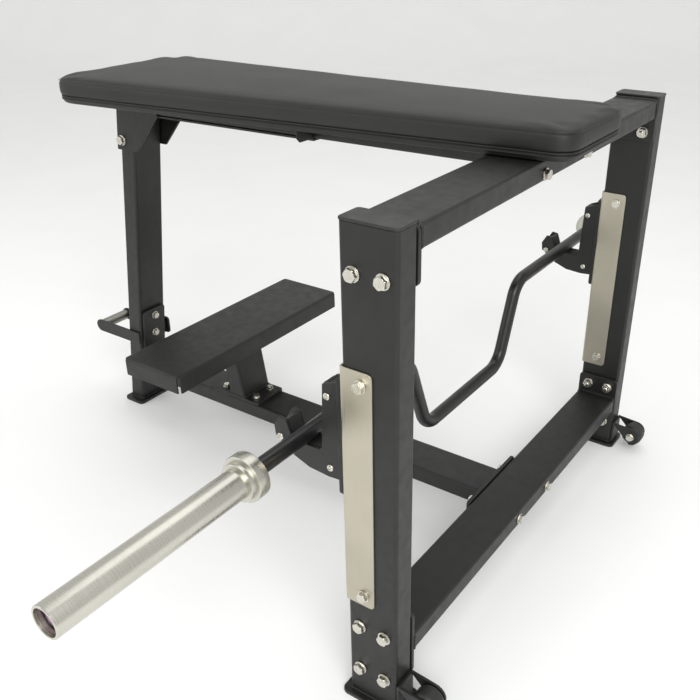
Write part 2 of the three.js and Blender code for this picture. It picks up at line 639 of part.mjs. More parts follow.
// Right half of the bar's centre line in (y, z): corner points, each rounded to the bend radius.
function barStations() {
  const corners = [[BAR.camberLow, -BAR.drop], [BAR.camberTop, 0]];
  const line = [[0, -BAR.drop], ...corners, [BAR.halfLength, 0]].map(([y, z]) => new THREE.Vector2(y, z));
  const half = [];
  for (let i = 1; i < line.length - 1; i += 1) {
    const before = line[i - 1].clone().sub(line[i]).normalize();
    const after = line[i + 1].clone().sub(line[i]).normalize();
    const reach = BAR.bend / Math.tan(before.angleTo(after) / 2);
    const from = line[i].clone().addScaledVector(before, reach);
    const to = line[i].clone().addScaledVector(after, reach);
    const arc = new THREE.QuadraticBezierCurve(from, line[i], to);
    half.push(...arc.getPoints(4));
  }
  half.push(line[line.length - 1]);
  const mirrored = half.map((p) => new THREE.Vector2(-p.x, p.y)).reverse();
  return [...mirrored, ...half].map((p) => new THREE.Vector3(0, p.x, p.y));
}

// A path that stops at its own stations, so straight runs stay one long step.
class StationPath extends THREE.Curve {
  constructor(points) {
    super();
    this.points = points;
  }

  getPoint(t, target = new THREE.Vector3()) {
    const place = t * (this.points.length - 1);
    const i = Math.min(Math.floor(place + 1e-9), this.points.length - 2);
    return target.lerpVectors(this.points[i], this.points[i + 1], place - i);
  }

  getPointAt(t, target) {
    return this.getPoint(t, target);
  }

  getTangentAt(t, target = new THREE.Vector3()) {
    const i = Math.round(t * (this.points.length - 1));
    const before = this.points[Math.max(i - 1, 0)];
    const here = this.points[i];
    const after = this.points[Math.min(i + 1, this.points.length - 1)];
    const a = here.clone().sub(before).normalize();
    const b = after.clone().sub(here).normalize();
    return target.copy(a).add(b).normalize();
  }
}

function barGeometry() {
  const stations = barStations();
  const section = new THREE.Shape();
  section.absarc(0, 0, BAR.radius, 0, 2 * Math.PI);
  return new THREE.ExtrudeGeometry(section, {
    steps: stations.length - 1,
    curveSegments: 6,
    extrudePath: new StationPath(stations),
  });
}

// Sleeve turned about Y: flat collar disc on the shaft's side, a shoulder, then the plate tube.
function sleeveGeometry() {
  const { inner, outer, radius, bore, clearance, chamfer } = SLEEVE;
  const shaftBore = BAR.radius + clearance;
  const collarEnd = inner + COLLAR.end;
  const shoulderEnd = inner + COLLAR.shoulderEnd;
  const boreStart = inner + COLLAR.boreStart;
  return lathe([
    [shaftBore, inner], [COLLAR.radius - chamfer, inner], [COLLAR.radius, inner + chamfer],
    [COLLAR.radius, collarEnd - chamfer], [COLLAR.radius - chamfer, collarEnd],
    [COLLAR.shoulderRadius, collarEnd], [COLLAR.shoulderRadius, shoulderEnd], [radius, shoulderEnd],
    [radius, outer - chamfer], [radius - chamfer, outer], [bore, outer], [bore, boreStart],
    [shaftBore, boreStart], [shaftBore, inner],
  ], 24);
}

function bushingGeometry() {
  const low = SLEEVE.inner + COLLAR.boreStart + 1;
  const high = low + BUSHING_LENGTH;
  const r0 = BAR.radius + SLEEVE.clearance;
  const r1 = SLEEVE.bore - 2 * GAP;
  return lathe([[r0, low], [r1, low], [r1, high], [r0, high], [r0, low]], 16);
}

// Closing disc, set back inside the sleeve's open end.
function sleeveEndGeometry() {
  const radius = SLEEVE.bore - 2 * GAP;
  const midY = SLEEVE.outer - END_DISC.setBack - END_DISC.thickness / 2;
  return new THREE.CylinderGeometry(radius, radius, END_DISC.thickness, 24).translate(0, midY, 0);
}

add('bar_shaft', barGeometry(), BAR_BLACK).position.set(BAR.x, 0, barZ);
for (const [side, sign] of SIDES) {
  const pieces = [
    add(`sleeve_${side}`, sleeveGeometry(), CHROME),
    add(`sleeve_bushing_${side}`, bushingGeometry(), BRONZE),
    add(`sleeve_end_${side}`, sleeveEndGeometry(), END_CAP),
  ];
  for (const piece of pieces) {
    piece.position.set(BAR.x, 0, barZ);
    piece.rotation.z = sign > 0 ? 0 : Math.PI;
  }
}

// ---------- origin: the middle of the whole object's box, on the floor ----------
const rearMost = HANDLE.gripX - HANDLE.armHeight / 2;
const frontMost = WHEEL.x + WHEEL.radius;
group.position.x = -(rearMost + frontMost) / 2;

export default group;
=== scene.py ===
"""Looks of the seal-row bench: finishes, upholstery, turned bar sleeves, bolts, welds and a pale studio.

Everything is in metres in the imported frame: +X along the pad towards the uprights, +Y along the bar, +Z up.
"""

import json
import math

import bmesh
import bpy
from mathutils import Matrix, Vector, noise

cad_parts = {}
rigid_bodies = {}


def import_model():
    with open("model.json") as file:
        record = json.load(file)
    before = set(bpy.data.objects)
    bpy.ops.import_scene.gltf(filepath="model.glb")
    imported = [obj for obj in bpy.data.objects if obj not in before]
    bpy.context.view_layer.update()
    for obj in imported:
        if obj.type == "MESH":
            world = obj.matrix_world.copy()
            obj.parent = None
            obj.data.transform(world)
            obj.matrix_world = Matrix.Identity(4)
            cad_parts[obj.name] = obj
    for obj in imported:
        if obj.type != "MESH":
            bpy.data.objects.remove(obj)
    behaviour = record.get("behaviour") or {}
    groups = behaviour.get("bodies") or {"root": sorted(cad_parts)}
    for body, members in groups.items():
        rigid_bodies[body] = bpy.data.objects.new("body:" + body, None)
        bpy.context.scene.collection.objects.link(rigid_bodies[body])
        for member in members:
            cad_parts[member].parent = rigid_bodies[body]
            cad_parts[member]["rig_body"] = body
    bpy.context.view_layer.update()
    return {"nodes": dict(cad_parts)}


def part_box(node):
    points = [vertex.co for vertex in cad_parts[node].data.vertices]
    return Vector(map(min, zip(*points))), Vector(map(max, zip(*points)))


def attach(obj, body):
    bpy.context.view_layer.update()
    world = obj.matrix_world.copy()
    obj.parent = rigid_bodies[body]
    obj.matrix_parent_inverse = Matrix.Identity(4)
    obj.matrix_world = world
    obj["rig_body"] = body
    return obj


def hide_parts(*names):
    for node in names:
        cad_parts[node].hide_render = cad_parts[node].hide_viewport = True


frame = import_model()
scene = bpy.context.scene

SIDES = (("left", 1), ("right", -1))


# ---------------------------------------------------------------- places taken from the frame

def corner(node):
    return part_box(node)


def centre(node):
    low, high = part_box(node)
    return (low + high) / 2


UPRIGHT_LOW, UPRIGHT_HIGH = corner("upright_right")
UPRIGHT_FRONT_X = UPRIGHT_HIGH.x
UPRIGHT_REAR_X = UPRIGHT_LOW.x
BAR_AXIS = Vector((centre("sleeve_right").x, 0, centre("sleeve_right").z))
SLEEVE_INNER = corner("sleeve_left")[0].y
SLEEVE_OUTER = corner("sleeve_left")[1].y
WHEEL_CENTRE = {side: centre(f"wheel_{side}") for side, _ in SIDES}
PAD_LOW, PAD_HIGH = corner("bench_pad")
PAD_TILT = math.radians(-0.7)
PAD_PIVOT = Vector((UPRIGHT_REAR_X - 0.0003, 0, corner("top_crossbeam")[1].z + 0.0005))

PLATE = 0.008                 # flange and base plates
GAP = 0.0003                  # clearance between touching pieces
BEAM_WIDTH, BEAM_HEIGHT = 0.100, 0.040
LOWER_BEAM_TOP, BOTTOM_BEAM_TOP = 0.147, 0.142
BEAM_RADIUS, POST_RADIUS, FLANGE_RADIUS = 0.006, 0.007, 0.010
LEG_SLOPE = math.tan(math.radians(8.9))
LEG_HALF, LEG_WIDTH, LEG_PLATE_WIDTH = 0.025, 0.090, 0.076
FRONT_PLATE_HEIGHT = 0.044
SPINE_HALF, SPINE_HEIGHT, DOUBLER = 0.045, 0.040, 0.005
DOUBLER_END_X = UPRIGHT_FRONT_X - 0.541


def leg_x(z):
    """Middle of the leaning leg at a height."""
    middle = centre("rear_leg")
    return middle.x + LEG_SLOPE * (z - middle.z)


# ---------------------------------------------------------------- materials

def shader(name, colour, roughness, metallic=0.0, **constants):
    """A Principled material with constants on its own sockets; returns the material and its node tools."""
    material = bpy.data.materials.new(name)
    material.use_nodes = True
    tree = material.node_tree
    principled = tree.nodes["Principled BSDF"]
    principled.inputs["Base Color"].default_value = (*colour, 1)
    principled.inputs["Roughness"].default_value = roughness
    principled.inputs["Metallic"].default_value = metallic
    for socket, value in constants.items():
        principled.inputs[socket.replace("_", " ")].default_value = value
    return material, tree, principled


def add_node(tree, kind, sources=(), **values):
    """A shader node with values on its own sockets, and (socket, output) links into others."""
    node = tree.nodes.new("ShaderNode" + kind)
    for socket, value in values.items():
        node.inputs[socket.replace("_", " ")].default_value = value
    for socket, output in sources:
        tree.links.new(output, node.inputs[socket])
    return node


def coordinates(tree, scale=(1, 1, 1)):
    source = add_node(tree, "TexCoord").outputs["Object"]
    return add_node(tree, "Mapping", [("Vector", source)], Scale=scale).outputs["Vector"]


def noise_value(tree, scale, detail=3.0, stretch=(1, 1, 1), rough=0.5):
    where = [("Vector", coordinates(tree, stretch))]
    return add_node(tree, "TexNoise", where, Scale=scale, Detail=detail, Roughness=rough).outputs["Fac"]


def cell_value(tree, scale):
    """Distance to the edge of irregular cells."""
    texture = add_node(tree, "TexVoronoi", [("Vector", coordinates(tree))], Scale=scale)
    texture.feature = "DISTANCE_TO_EDGE"
    return texture.outputs["Distance"]


def vary_gloss(tree, principled, value, low, high, start=0.3, end=0.7):
    """Drive the roughness between two values with a 0..1 pattern."""
    limits = {"From_Min": start, "From_Max": end, "To_Min": low, "To_Max": high}
    node = add_node(tree, "MapRange", [("Value", value)], **limits)
    tree.links.new(node.outputs["Result"], principled.inputs["Roughness"])


def tint(tree, principled, value, dark, light, start=0.3, end=0.7):
    """Drive the base colour between two close tones."""
    ramp = tree.nodes.new("ShaderNodeValToRGB")
    ramp.color_ramp.elements[0].position = start
    ramp.color_ramp.elements[0].color = (*dark, 1)
    ramp.color_ramp.elements[1].position = end
    ramp.color_ramp.elements[1].color = (*light, 1)
    tree.links.new(value, ramp.inputs["Fac"])
    tree.links.new(ramp.outputs["Color"], principled.inputs["Base Color"])


def bump(tree, principled, layers):
    """Chain bump layers given as (value, height in metres, strength)."""
    normal = None
    for value, height, strength in layers:
        node = add_node(tree, "Bump", [("Height", value)], Distance=height, Strength=strength)
        if normal:
            tree.links.new(normal, node.inputs["Normal"])
        normal = node.outputs["Normal"]
    tree.links.new(normal, principled.inputs["Normal"])


def scaled(colour, factor):
    return tuple(c * factor for c in colour)


def powder_coat(name, colour, roughness=0.42):
    """Satin powder coat: fine orange peel, faint mottling and slightly uneven gloss."""
    material, tree, principled = shader(name, colour, roughness, Specular_IOR_Level=0.5)
    mottle = noise_value(tree, 9, 4)
    tint(tree, principled, mottle, scaled(colour, 0.86), scaled(colour, 1.16))
    gloss = noise_value(tree, 45, 3)
    vary_gloss(tree, principled, gloss, roughness - 0.05, roughness + 0.07)
    peel = noise_value(tree, 520, 2)
    waves = noise_value(tree, 60, 1)
    bump(tree, principled, [(waves, 0.0004, 0.10), (peel, 0.00025, 0.28)])
    return material


def upholstery_vinyl(name, colour):
    """Grained vinyl: irregular cells with fine creases between them and a soft sheen."""
    material, tree, principled = shader(name, colour, 0.5, Specular_IOR_Level=0.45)
    tone = noise_value(tree, 7, 4)
    tint(tree, principled, tone, scaled(colour, 0.88), scaled(colour, 1.14))
    grain = cell_value(tree, 620)
    fine = noise_value(tree, 900, 3)
    soft = noise_value(tree, 26, 2)
    vary_gloss(tree, principled, grain, 0.58, 0.44, 0.0, 0.25)
    bump(tree, principled, [(soft, 0.0012, 0.10), (grain, 0.0004, 0.35), (fine, 0.0002, 0.2)])
    return material


def woven_backing(name, colour):
    """Black dust cover: a plain non-woven cloth with a fine crossed thread pattern."""
    material, tree, principled = shader(name, colour, 0.85, Sheen_Weight=0.15, Sheen_Roughness=0.5)
    warp = noise_value(tree, 400, 2, (1, 0.12, 1))
    weft = noise_value(tree, 400, 2, (0.12, 1, 1))
    tint(tree, principled, warp, scaled(colour, 0.75), scaled(colour, 1.3))
    bump(tree, principled, [(warp, 0.0003, 0.5), (weft, 0.0003, 0.5)])
    return material


def brushed_metal(name, colour, roughness, stretch, scale=900, anisotropy=0.5, depth=0.22):
    """Metal with long parallel scratches; the pattern is squeezed across the grain by stretch."""
    material, tree, principled = shader(name, colour, roughness, 1.0, Anisotropic=anisotropy)
    grain = noise_value(tree, scale, 3, stretch, 0.6)
    cloud = noise_value(tree, 6, 3)
    tint(tree, principled, cloud, scaled(colour, 0.92), scaled(colour, 1.06))
    vary_gloss(tree, principled, grain, roughness - 0.07, roughness + 0.1)
    bump(tree, principled, [(grain, 0.0002, depth)])
    return material


def plated(name, colour, roughness):
    """Bright zinc or chrome plate with faint clouding and tiny pits."""
    material, tree, principled = shader(name, colour, roughness, 1.0)
    cloud = noise_value(tree, 160, 4)
    tint(tree, principled, cloud, scaled(colour, 0.84), scaled(colour, 1.05))
    pits = noise_value(tree, 1400, 2)
    vary_gloss(tree, principled, cloud, roughness - 0.05, roughness + 0.1)
    bump(tree, principled, [(pits, 0.0001, 0.2)])
    return material


def moulded(name, colour, roughness, grain_scale=700, strength=0.35):
    """Moulded polymer with a fine spark-eroded texture."""
    material, tree, principled = shader(name, colour, roughness)
    speckle = noise_value(tree, grain_scale, 3)
    tint(tree, principled, noise_value(tree, 30, 2), scaled(colour, 0.85), scaled(colour, 1.2))
    vary_gloss(tree, principled, speckle, roughness - 0.06, roughness + 0.08)
    bump(tree, principled, [(speckle, 0.00025, strength)])
    return material


COAT = powder_coat("satin_powder_coat", (0.0085, 0.0085, 0.008), 0.46)
CAP = powder_coat("cap_coat", (0.016, 0.0164, 0.0138), 0.44)
BAR_BLACK = powder_coat("bar_black_coat", (0.007, 0.007, 0.0069), 0.32)
VINYL = upholstery_vinyl("pad_vinyl", (0.012, 0.0124, 0.0113))
VINYL_EDGE = upholstery_vinyl("pad_edge_vinyl", (0.0095, 0.0098, 0.009))
BACKING = woven_backing("pad_backing_cloth", (0.012, 0.012, 0.012))
THREAD = moulded("stitch_thread", (0.02, 0.02, 0.019), 0.6, 1500)
STAINLESS = brushed_metal("brushed_stainless", (0.5, 0.47, 0.38), 0.36, (1, 1, 0.02))
SLEEVE_STEEL = brushed_metal("turned_sleeve_steel", (0.56, 0.55, 0.49), 0.27, (0.002, 1, 0.002),
                             scale=2600, anisotropy=0.0, depth=0.05)
GRIP_STEEL = brushed_metal("grip_steel", (0.30, 0.30, 0.27), 0.38, (0.1, 1, 0.1), 500, 0.3)
ZINC = plated("bright_zinc", (0.66, 0.64, 0.57), 0.24)
BRONZE = plated("bushing_bronze", (0.5, 0.36, 0.18), 0.4)
LINER = moulded("hook_liner_polymer", (0.014, 0.014, 0.0135), 0.45)
TYRE = moulded("wheel_polymer", (0.016, 0.016, 0.0155), 0.5)
INSERT = moulded("end_insert_polymer", (0.36, 0.16, 0.27), 0.4, 500, 0.2)
RECESS = moulded("dark_recess", (0.01, 0.01, 0.01), 0.6)


# ---------------------------------------------------------------- mesh helpers


def piece_from(bm, name, material, body="frame", replaces=(), smooth_angle=38, matrix=None):
    """Turn a bmesh into a finished piece: shading, material, slot and the body that it rides on."""
    if matrix is not None:
        bm.transform(matrix)
    bmesh.ops.recalc_face_normals(bm, faces=bm.faces)
    limit = math.radians(smooth_angle)
    for face in bm.faces:
        face.smooth = True
    for edge in bm.edges:
        edge.smooth = len(edge.link_faces) == 2 and edge.calc_face_angle(0) < limit
    mesh = bpy.data.meshes.new(name)
    bm.to_mesh(mesh)
    bm.free()
    return finish_piece(mesh, name, material, body, replaces)


def finish_piece(mesh, name, material, body="frame", replaces=()):
    obj = bpy.data.objects.new(name, mesh)
    scene.collection.objects.link(obj)
    mesh.materials.clear()
    mesh.materials.append(material)
    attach(obj, body)
    if replaces:
        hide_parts(*replaces)
    return obj


def apply_modifiers(obj):
    """Bake an object's modifiers into its mesh."""
    evaluated = obj.evaluated_get(bpy.context.evaluated_depsgraph_get())
    mesh = bpy.data.meshes.new_from_object(evaluated)
    obj.modifiers.clear()
    obj.data = mesh
    return obj


def soften(obj, edge, segments=2, angle=30):
    """Round an object's hard edges and keep its flat faces flat."""
    bevel = obj.modifiers.new("edges", "BEVEL")
    bevel.width = edge
    bevel.segments = segments
    bevel.limit_method = "ANGLE"
    bevel.angle_limit = math.radians(angle)
    bevel.use_clamp_overlap = False
    weighted = obj.modifiers.new("flat_faces", "WEIGHTED_NORMAL")
    weighted.keep_sharp = True
    weighted.weight = 80
    return apply_modifiers(obj)


def rounded_copy(node, material, edge=0.001, segments=2):
    """A CAD node's own shape with its arrises rounded, as coated steel has."""
    source = frame["nodes"][node]
    bm = bmesh.new()
    bm.from_mesh(source.data)
    for layer in list(bm.loops.layers.float_vector.values()):
        bm.loops.layers.float_vector.remove(layer)
    bmesh.ops.remove_doubles(bm, verts=bm.verts, dist=2e-5)
    bmesh.ops.dissolve_limit(bm, angle_limit=math.radians(1), verts=bm.verts, edges=bm.edges)
    clean = bpy.data.meshes.new(node)
    bm.to_mesh(clean)
    bm.free()
    if "custom_normal" in clean.attributes:
        clean.attributes.remove(clean.attributes["custom_normal"])
    for polygon in clean.polygons:
        polygon.use_smooth = True
    body = source["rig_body"]
    obj = finish_piece(clean, f"{node}_shell", material, body, (node,))
    soften(obj, edge, segments)
    obj.data.materials.clear()
    obj.data.materials.append(material)
    return obj


def skin(bm, rings, caps=True):
    """Quads between successive rings of vertices, and a face over each end."""
    for here, there in zip(rings, rings[1:]):
        for k in range(len(here)):
            m = (k + 1) % len(here)
            bm.faces.new((here[k], here[m], there[m], there[k]))
    if caps:
        bm.faces.new(rings[0])
        bm.faces.new(rings[-1])


def lathe(profile, segments=64, axis="Y"):
    """Turn a closed (radius, height) outline about an axis."""
    bm = bmesh.new()
    rings = []
    for k in range(segments):
        angle = 2 * math.pi * k / segments
        rings.append([bm.verts.new((r * math.cos(angle), h, r * math.sin(angle))) for r, h in profile])
    skin(bm, rings + rings[:1], False)
    bmesh.ops.remove_doubles(bm, verts=bm.verts, dist=1e-7)
    if axis == "Z":
        bm.transform(Matrix.Rotation(math.pi / 2, 4, "X"))
    return bm


def chamfered(points, size):
    """Cut the corners of a closed outline; size is one number or one per point, 0 keeps the corner."""
    result = []
    count = len(points)
    for i, (r, h) in enumerate(points):
        cut = size[i] if isinstance(size, (list, tuple)) else size
        if not cut:
            result.append((r, h))
            continue
        here = Vector((r, h))
        before = (Vector(points[i - 1]) - here).normalized()
        after = (Vector(points[(i + 1) % count]) - here).normalized()
        steps = 3
        for k in range(steps + 1):
            t = k / steps
            first, last = here + before * cut, here + after * cut
            bend = (1 - t) ** 2 * first + 2 * t * (1 - t) * here + t * t * last
            result.append(tuple(bend))
    return result


def circle(bm, middle, radius, side, over, sides):
    """Ring of new vertices in the plane of two directions."""
    return [bm.verts.new(middle + radius * (math.cos(a) * side + math.sin(a) * over))
            for a in (2 * math.pi * k / sides for k in range(sides))]


def sweep(path, radius, sides=12, closed=False, radii=None):
    """A round tube along a list of points, with flat or joined ends."""
    bm = bmesh.new()
    count = len(path)
    rings = []
    up = Vector((0, 0, 1))
    for i, point in enumerate(path):
        before = path[i - 1] if i or closed else path[0]
        after = path[(i + 1) % count] if i < count - 1 or closed else path[-1]
        along = (after - before).normalized()
        side = along.cross(up)
        if side.length < 1e-3:
            side = along.cross(Vector((1, 0, 0)))
        side.normalize()
        over = side.cross(along).normalized()
        r = radii[i] if radii else radius
        rings.append(circle(bm, point, r, side, over, sides))
    skin(bm, rings + rings[:1] if closed else rings, not closed)
    return bm


def merge(parts):
    """Join several bmeshes into one."""
    whole = bmesh.new()
    for part in parts:
        mesh = bpy.data.meshes.new("part")
        part.to_mesh(mesh)
        part.free()
        whole.from_mesh(mesh)
        bpy.data.meshes.remove(mesh)
    return whole


def facing(direction):
    """Turn that takes +Z to a direction."""
    return Vector((0, 0, 1)).rotation_difference(Vector(direction)).to_matrix().to_4x4()


# ---------------------------------------------------------------- fasteners

def hex_solid(flats, height, chamfer=0.12):
    """Hex prism along +Z from z = 0 with a turned chamfer on its top."""
    radius = flats / math.sqrt(3)
    bm = bmesh.new()
    levels = [(1.0, 0.0), (1.0, height * (1 - chamfer)), (0.92, height * (1 - chamfer / 3)), (0.84, height)]
    sides = 48
    rings = []
    for shrink, z in levels:
        ring = []
        for k in range(sides):
            angle = 2 * math.pi * k / sides
            sector = (angle + math.pi / 6) % (math.pi / 3) - math.pi / 6
            hexagon = flats / 2 / math.cos(sector)
            ring.append(bm.verts.new((min(hexagon, radius * shrink) * math.cos(angle),
                                      min(hexagon, radius * shrink) * math.sin(angle), z)))
        rings.append(ring)
    skin(bm, rings)
    return bm


BOLT_SIZE, BOLT_FLATS, BOLT_HEAD, NUT_HEIGHT = 0.012, 0.019, 0.008, 0.0105
WASHER_RADIUS, WASHER_THICK = 0.0125, 0.0025


def washer_solid(radius, bore, thickness, z=0.0):
    outline = [(bore, z), (radius, z), (radius, z + thickness), (bore, z + thickness)]
    return lathe(chamfered(outline, thickness * 0.25), 48, "Z")


def thread_solid(radius, length, pitch, z):
    """Stub of bolt thread, drawn as close rings with a chamfered end."""
    turns = max(int(length / pitch), 2)
    outline = [(0.0001, z), (radius - pitch * 0.5, z)]
    for k in range(turns):
        outline.append((radius, z - (k + 0.5) * pitch))
        outline.append((radius - pitch * 0.45, z - (k + 1) * pitch))
    outline.append((radius * 0.72, z - (turns + 0.35) * pitch))
    outline.append((0.0001, z - (turns + 0.35) * pitch))
    return lathe(outline, 32, "Z")


def bolt(name, place, direction, grip=None, replaces=(), scale=1.0, turn=0.0):
    """Hex bolt with a washer at place, its head along direction.

    A grip adds a washer, a nut and a stub of thread at the far end.
    """
    size, flats, washer, thick, head, nut_height = (
        value * scale for value in
        (BOLT_SIZE, BOLT_FLATS, WASHER_RADIUS, WASHER_THICK, BOLT_HEAD, NUT_HEIGHT))
    parts = [washer_solid(washer, size * 0.5, thick)]
    top = hex_solid(flats, head)
    top.transform(Matrix.Translation((0, 0, thick)) @ Matrix.Rotation(turn, 4, "Z"))
    parts.append(top)
    if grip:
        far = washer_solid(washer, size * 0.5, thick, -grip - thick)
        nut = hex_solid(flats, nut_height)
        flip = Matrix.Rotation(math.pi, 4, "X") @ Matrix.Rotation(turn + 0.4, 4, "Z")
        nut.transform(Matrix.Translation((0, 0, -grip - thick)) @ flip)
        thread_end = -grip - thick - nut_height * 0.98
        parts += [far, nut, thread_solid(size * 0.47, size * 0.3, size * 0.11, thread_end)]
    matrix = Matrix.Translation(place) @ facing(direction)
    return piece_from(merge(parts), name, ZINC, "frame", replaces, 30, matrix)


def button_screw(radius, height):
    """Domed screw head with a hex socket, along +Z."""
    outline = [(0.0001, 0), (radius, 0), (radius, height * 0.25)]
    for k in range(1, 6):
        angle = k / 6 * math.pi / 2
        outline.append((radius * math.cos(angle) ** 0.8, height * (0.25 + 0.75 * math.sin(angle))))
    outline += [(radius * 0.38, height), (radius * 0.36, height * 0.45), (0.0001, height * 0.45)]
    return lathe(outline, 36, "Z")


def screw(name, place, direction, radius=0.0065, height=0.0042):
    matrix = Matrix.Translation(place) @ facing(direction)
    return piece_from(button_screw(radius, height), name, ZINC, "frame", (), 30, matrix)


def frame_bolts():
    """Replace each through bolt and guard bolt solid with a detailed one on the same axis."""
    for side, sign in SIDES:
        low, high = corner(f"upright_{side}")
        face = sign * (max(abs(low.y), abs(high.y)) + GAP)
        grip = high.y - low.y + PLATE + 3 * GAP
        for row in ("top", "low1", "low2"):
            for end in ("front", "rear"):
                node = f"frame_bolt_{row}_{end}_{side}"
                middle = centre(node)
                bolt(f"bolt_{row}_{end}_{side}", (middle.x, face, middle.z), (0, sign, 0), grip, (node,),
                     turn=0.5 + 0.7 * len(row) + middle.x * 9)
        for end in ("low", "top"):
            node = f"guard_bolt_{end}_{side}"
            middle = centre(node)
            guard_face = corner(f"guard_{side}")[0].y - GAP
            bolt(f"{node}_fine", (middle.x, guard_face, middle.z), (0, -1, 0), None, (node,),
                 scale=0.9, turn=0.3 + middle.z)
    low, high = corner("gusset_bolt")
    outer = corner("gusset_right")[0].y
    bolt("gusset_through_bolt", ((low.x + high.x) / 2, outer - GAP, (low.z + high.z) / 2), (0, -1, 0),
         2 * (GAP - outer), ("gusset_bolt",), turn=0.2)


TOP_BOLT_REACH, LOW_BOLT_REACH, TOP_BOLT_DROP = 0.090, 0.070, 0.027


def crossbeam_face_bolts():
    """Bolts through the crossbeams into the spine and bottom beam flanges."""
    spots = (("top", TOP_BOLT_REACH, corner("top_crossbeam")[1].z - TOP_BOLT_DROP),
             ("low", LOW_BOLT_REACH, LOWER_BEAM_TOP - BEAM_HEIGHT / 2))
    grip = BEAM_WIDTH + PLATE + 3 * GAP
    for name, reach, z in spots:
        for side, sign in SIDES:
            bolt(f"{name}_face_bolt_{side}", (UPRIGHT_FRONT_X + GAP, sign * reach, z), (1, 0, 0), grip,
                 scale=0.9, turn=0.2 + sign * 0.5)


PEDESTAL_BASE_X, PEDESTAL_POST_X = UPRIGHT_FRONT_X - 0.838, UPRIGHT_FRONT_X - 0.832
PEDESTAL_BOLT_X, PEDESTAL_BOLT_Y = 0.0525, 0.027
LEG_BOLT_HEIGHTS = (0.2245, 0.2795)
PAD_BOLT_INSET, PAD_BOLT_Y, PAD_SHELF = 0.012, 0.080, 0.0052


def step_and_leg_bolts():
    """Pedestal base bolts, the beam-to-leg bolts and the pad bracket bolts."""
    plate_top = corner("step_pedestal")[0].z + PLATE + GAP
    spots = [(u * PEDESTAL_BOLT_X, v * PEDESTAL_BOLT_Y) for u in (-1, 1) for v in (-1, 1)]
    for k, (dx, dy) in enumerate(spots):
        place = (PEDESTAL_BASE_X + dx, dy, plate_top)
        bolt(f"pedestal_bolt_{k + 1}", place, (0, 0, 1), scale=0.8, turn=0.6 * k)
    for k, z in enumerate(LEG_BOLT_HEIGHTS):
        flange_face = leg_x(z) + LEG_HALF + PLATE + 3 * GAP
        tilt = Vector((1, 0, -LEG_SLOPE)).normalized()
        bolt(f"leg_bolt_{k + 1}", (flange_face, 0, z), tilt, scale=0.85, turn=0.9 * k + 0.2)
    for side, sign in SIDES:
        low, high = corner(f"pad_bracket_{side}")
        for k, x in enumerate((low.x + PAD_BOLT_INSET, high.x - PAD_BOLT_INSET)):
            place = (x, sign * PAD_BOLT_Y, high.z - PAD_SHELF)
            bolt(f"pad_bolt_{side}_{k + 1}", place, (0, 0, -1), scale=0.6, turn=k)


# ---------------------------------------------------------------- steel frame

def round_outline(width, height, radius, middle=(0.0, 0.0), steps=6):
    """Rounded rectangle as a closed list of (a, b) points."""
    points = []
    for turn, (u, v) in enumerate(((1, 1), (-1, 1), (-1, -1), (1, -1))):
        points += arc_points(middle[0] + u * (width / 2 - radius), middle[1] + v * (height / 2 - radius),
                             radius, 90 * turn, 90 * turn + 90, steps)
    return points


def prism(outline, start, end):
    """Solid between two ends; start and end turn an outline point (a, b) into a place."""
    bm = bmesh.new()
    skin(bm, [[bm.verts.new(place(a, b)) for a, b in outline] for place in (start, end)])
    return bm


def straight_prism(axis, low, high, outline):
    """Prism with flat ends along a frame axis; the outline lies in the two other axes in order."""
    places = {"X": lambda s: lambda a, b: (s, a, b), "Y": lambda s: lambda a, b: (a, s, b),
              "Z": lambda s: lambda a, b: (a, b, s)}
    return prism(outline, places[axis](low), places[axis](high))


def coated(parts, node, material=None, edge=0.0011):
    """Join solids into one coated piece that stands for a CAD node."""
    for part in parts:
        bmesh.ops.recalc_face_normals(part, faces=part.faces)
    obj = piece_from(merge(parts), f"{node}_shell", material or COAT, "frame", (node,), 40)
    soften(obj, edge, 2, 50)
    return obj


def upright(side):
    low, high = corner(f"upright_{side}")
    middle = centre(f"upright_{side}")
    outline = round_outline(high.x - low.x, high.y - low.y, POST_RADIUS, (middle.x, middle.y))
    coated([straight_prism("Z", low.z, high.z, outline)], f"upright_{side}")


def crossbeam(node, top):
    """Rectangular tube with a flange plate at each end."""
    low, high = corner(node)
    middle_x = (low.x + high.x) / 2
    tube = round_outline(BEAM_WIDTH, BEAM_HEIGHT, BEAM_RADIUS, (middle_x, top - BEAM_HEIGHT / 2))
    plate = round_outline(high.x - low.x, high.z - low.z, FLANGE_RADIUS, (middle_x, (low.z + high.z) / 2))
    inside = PLATE * 0.6
    spans = ((low.y + inside, high.y - inside, tube),
             (low.y, low.y + PLATE, plate), (high.y - PLATE, high.y, plate))
    coated([straight_prism("Y", *span) for span in spans], node)


def rear_leg():
    low, high = corner("rear_leg")
    outline = round_outline(2 * LEG_HALF, LEG_WIDTH, POST_RADIUS)
    places = [lambda a, b, z=z: (leg_x(z) + a, b, z) for z in (low.z, high.z)]
    coated([prism(outline, *places)], "rear_leg")


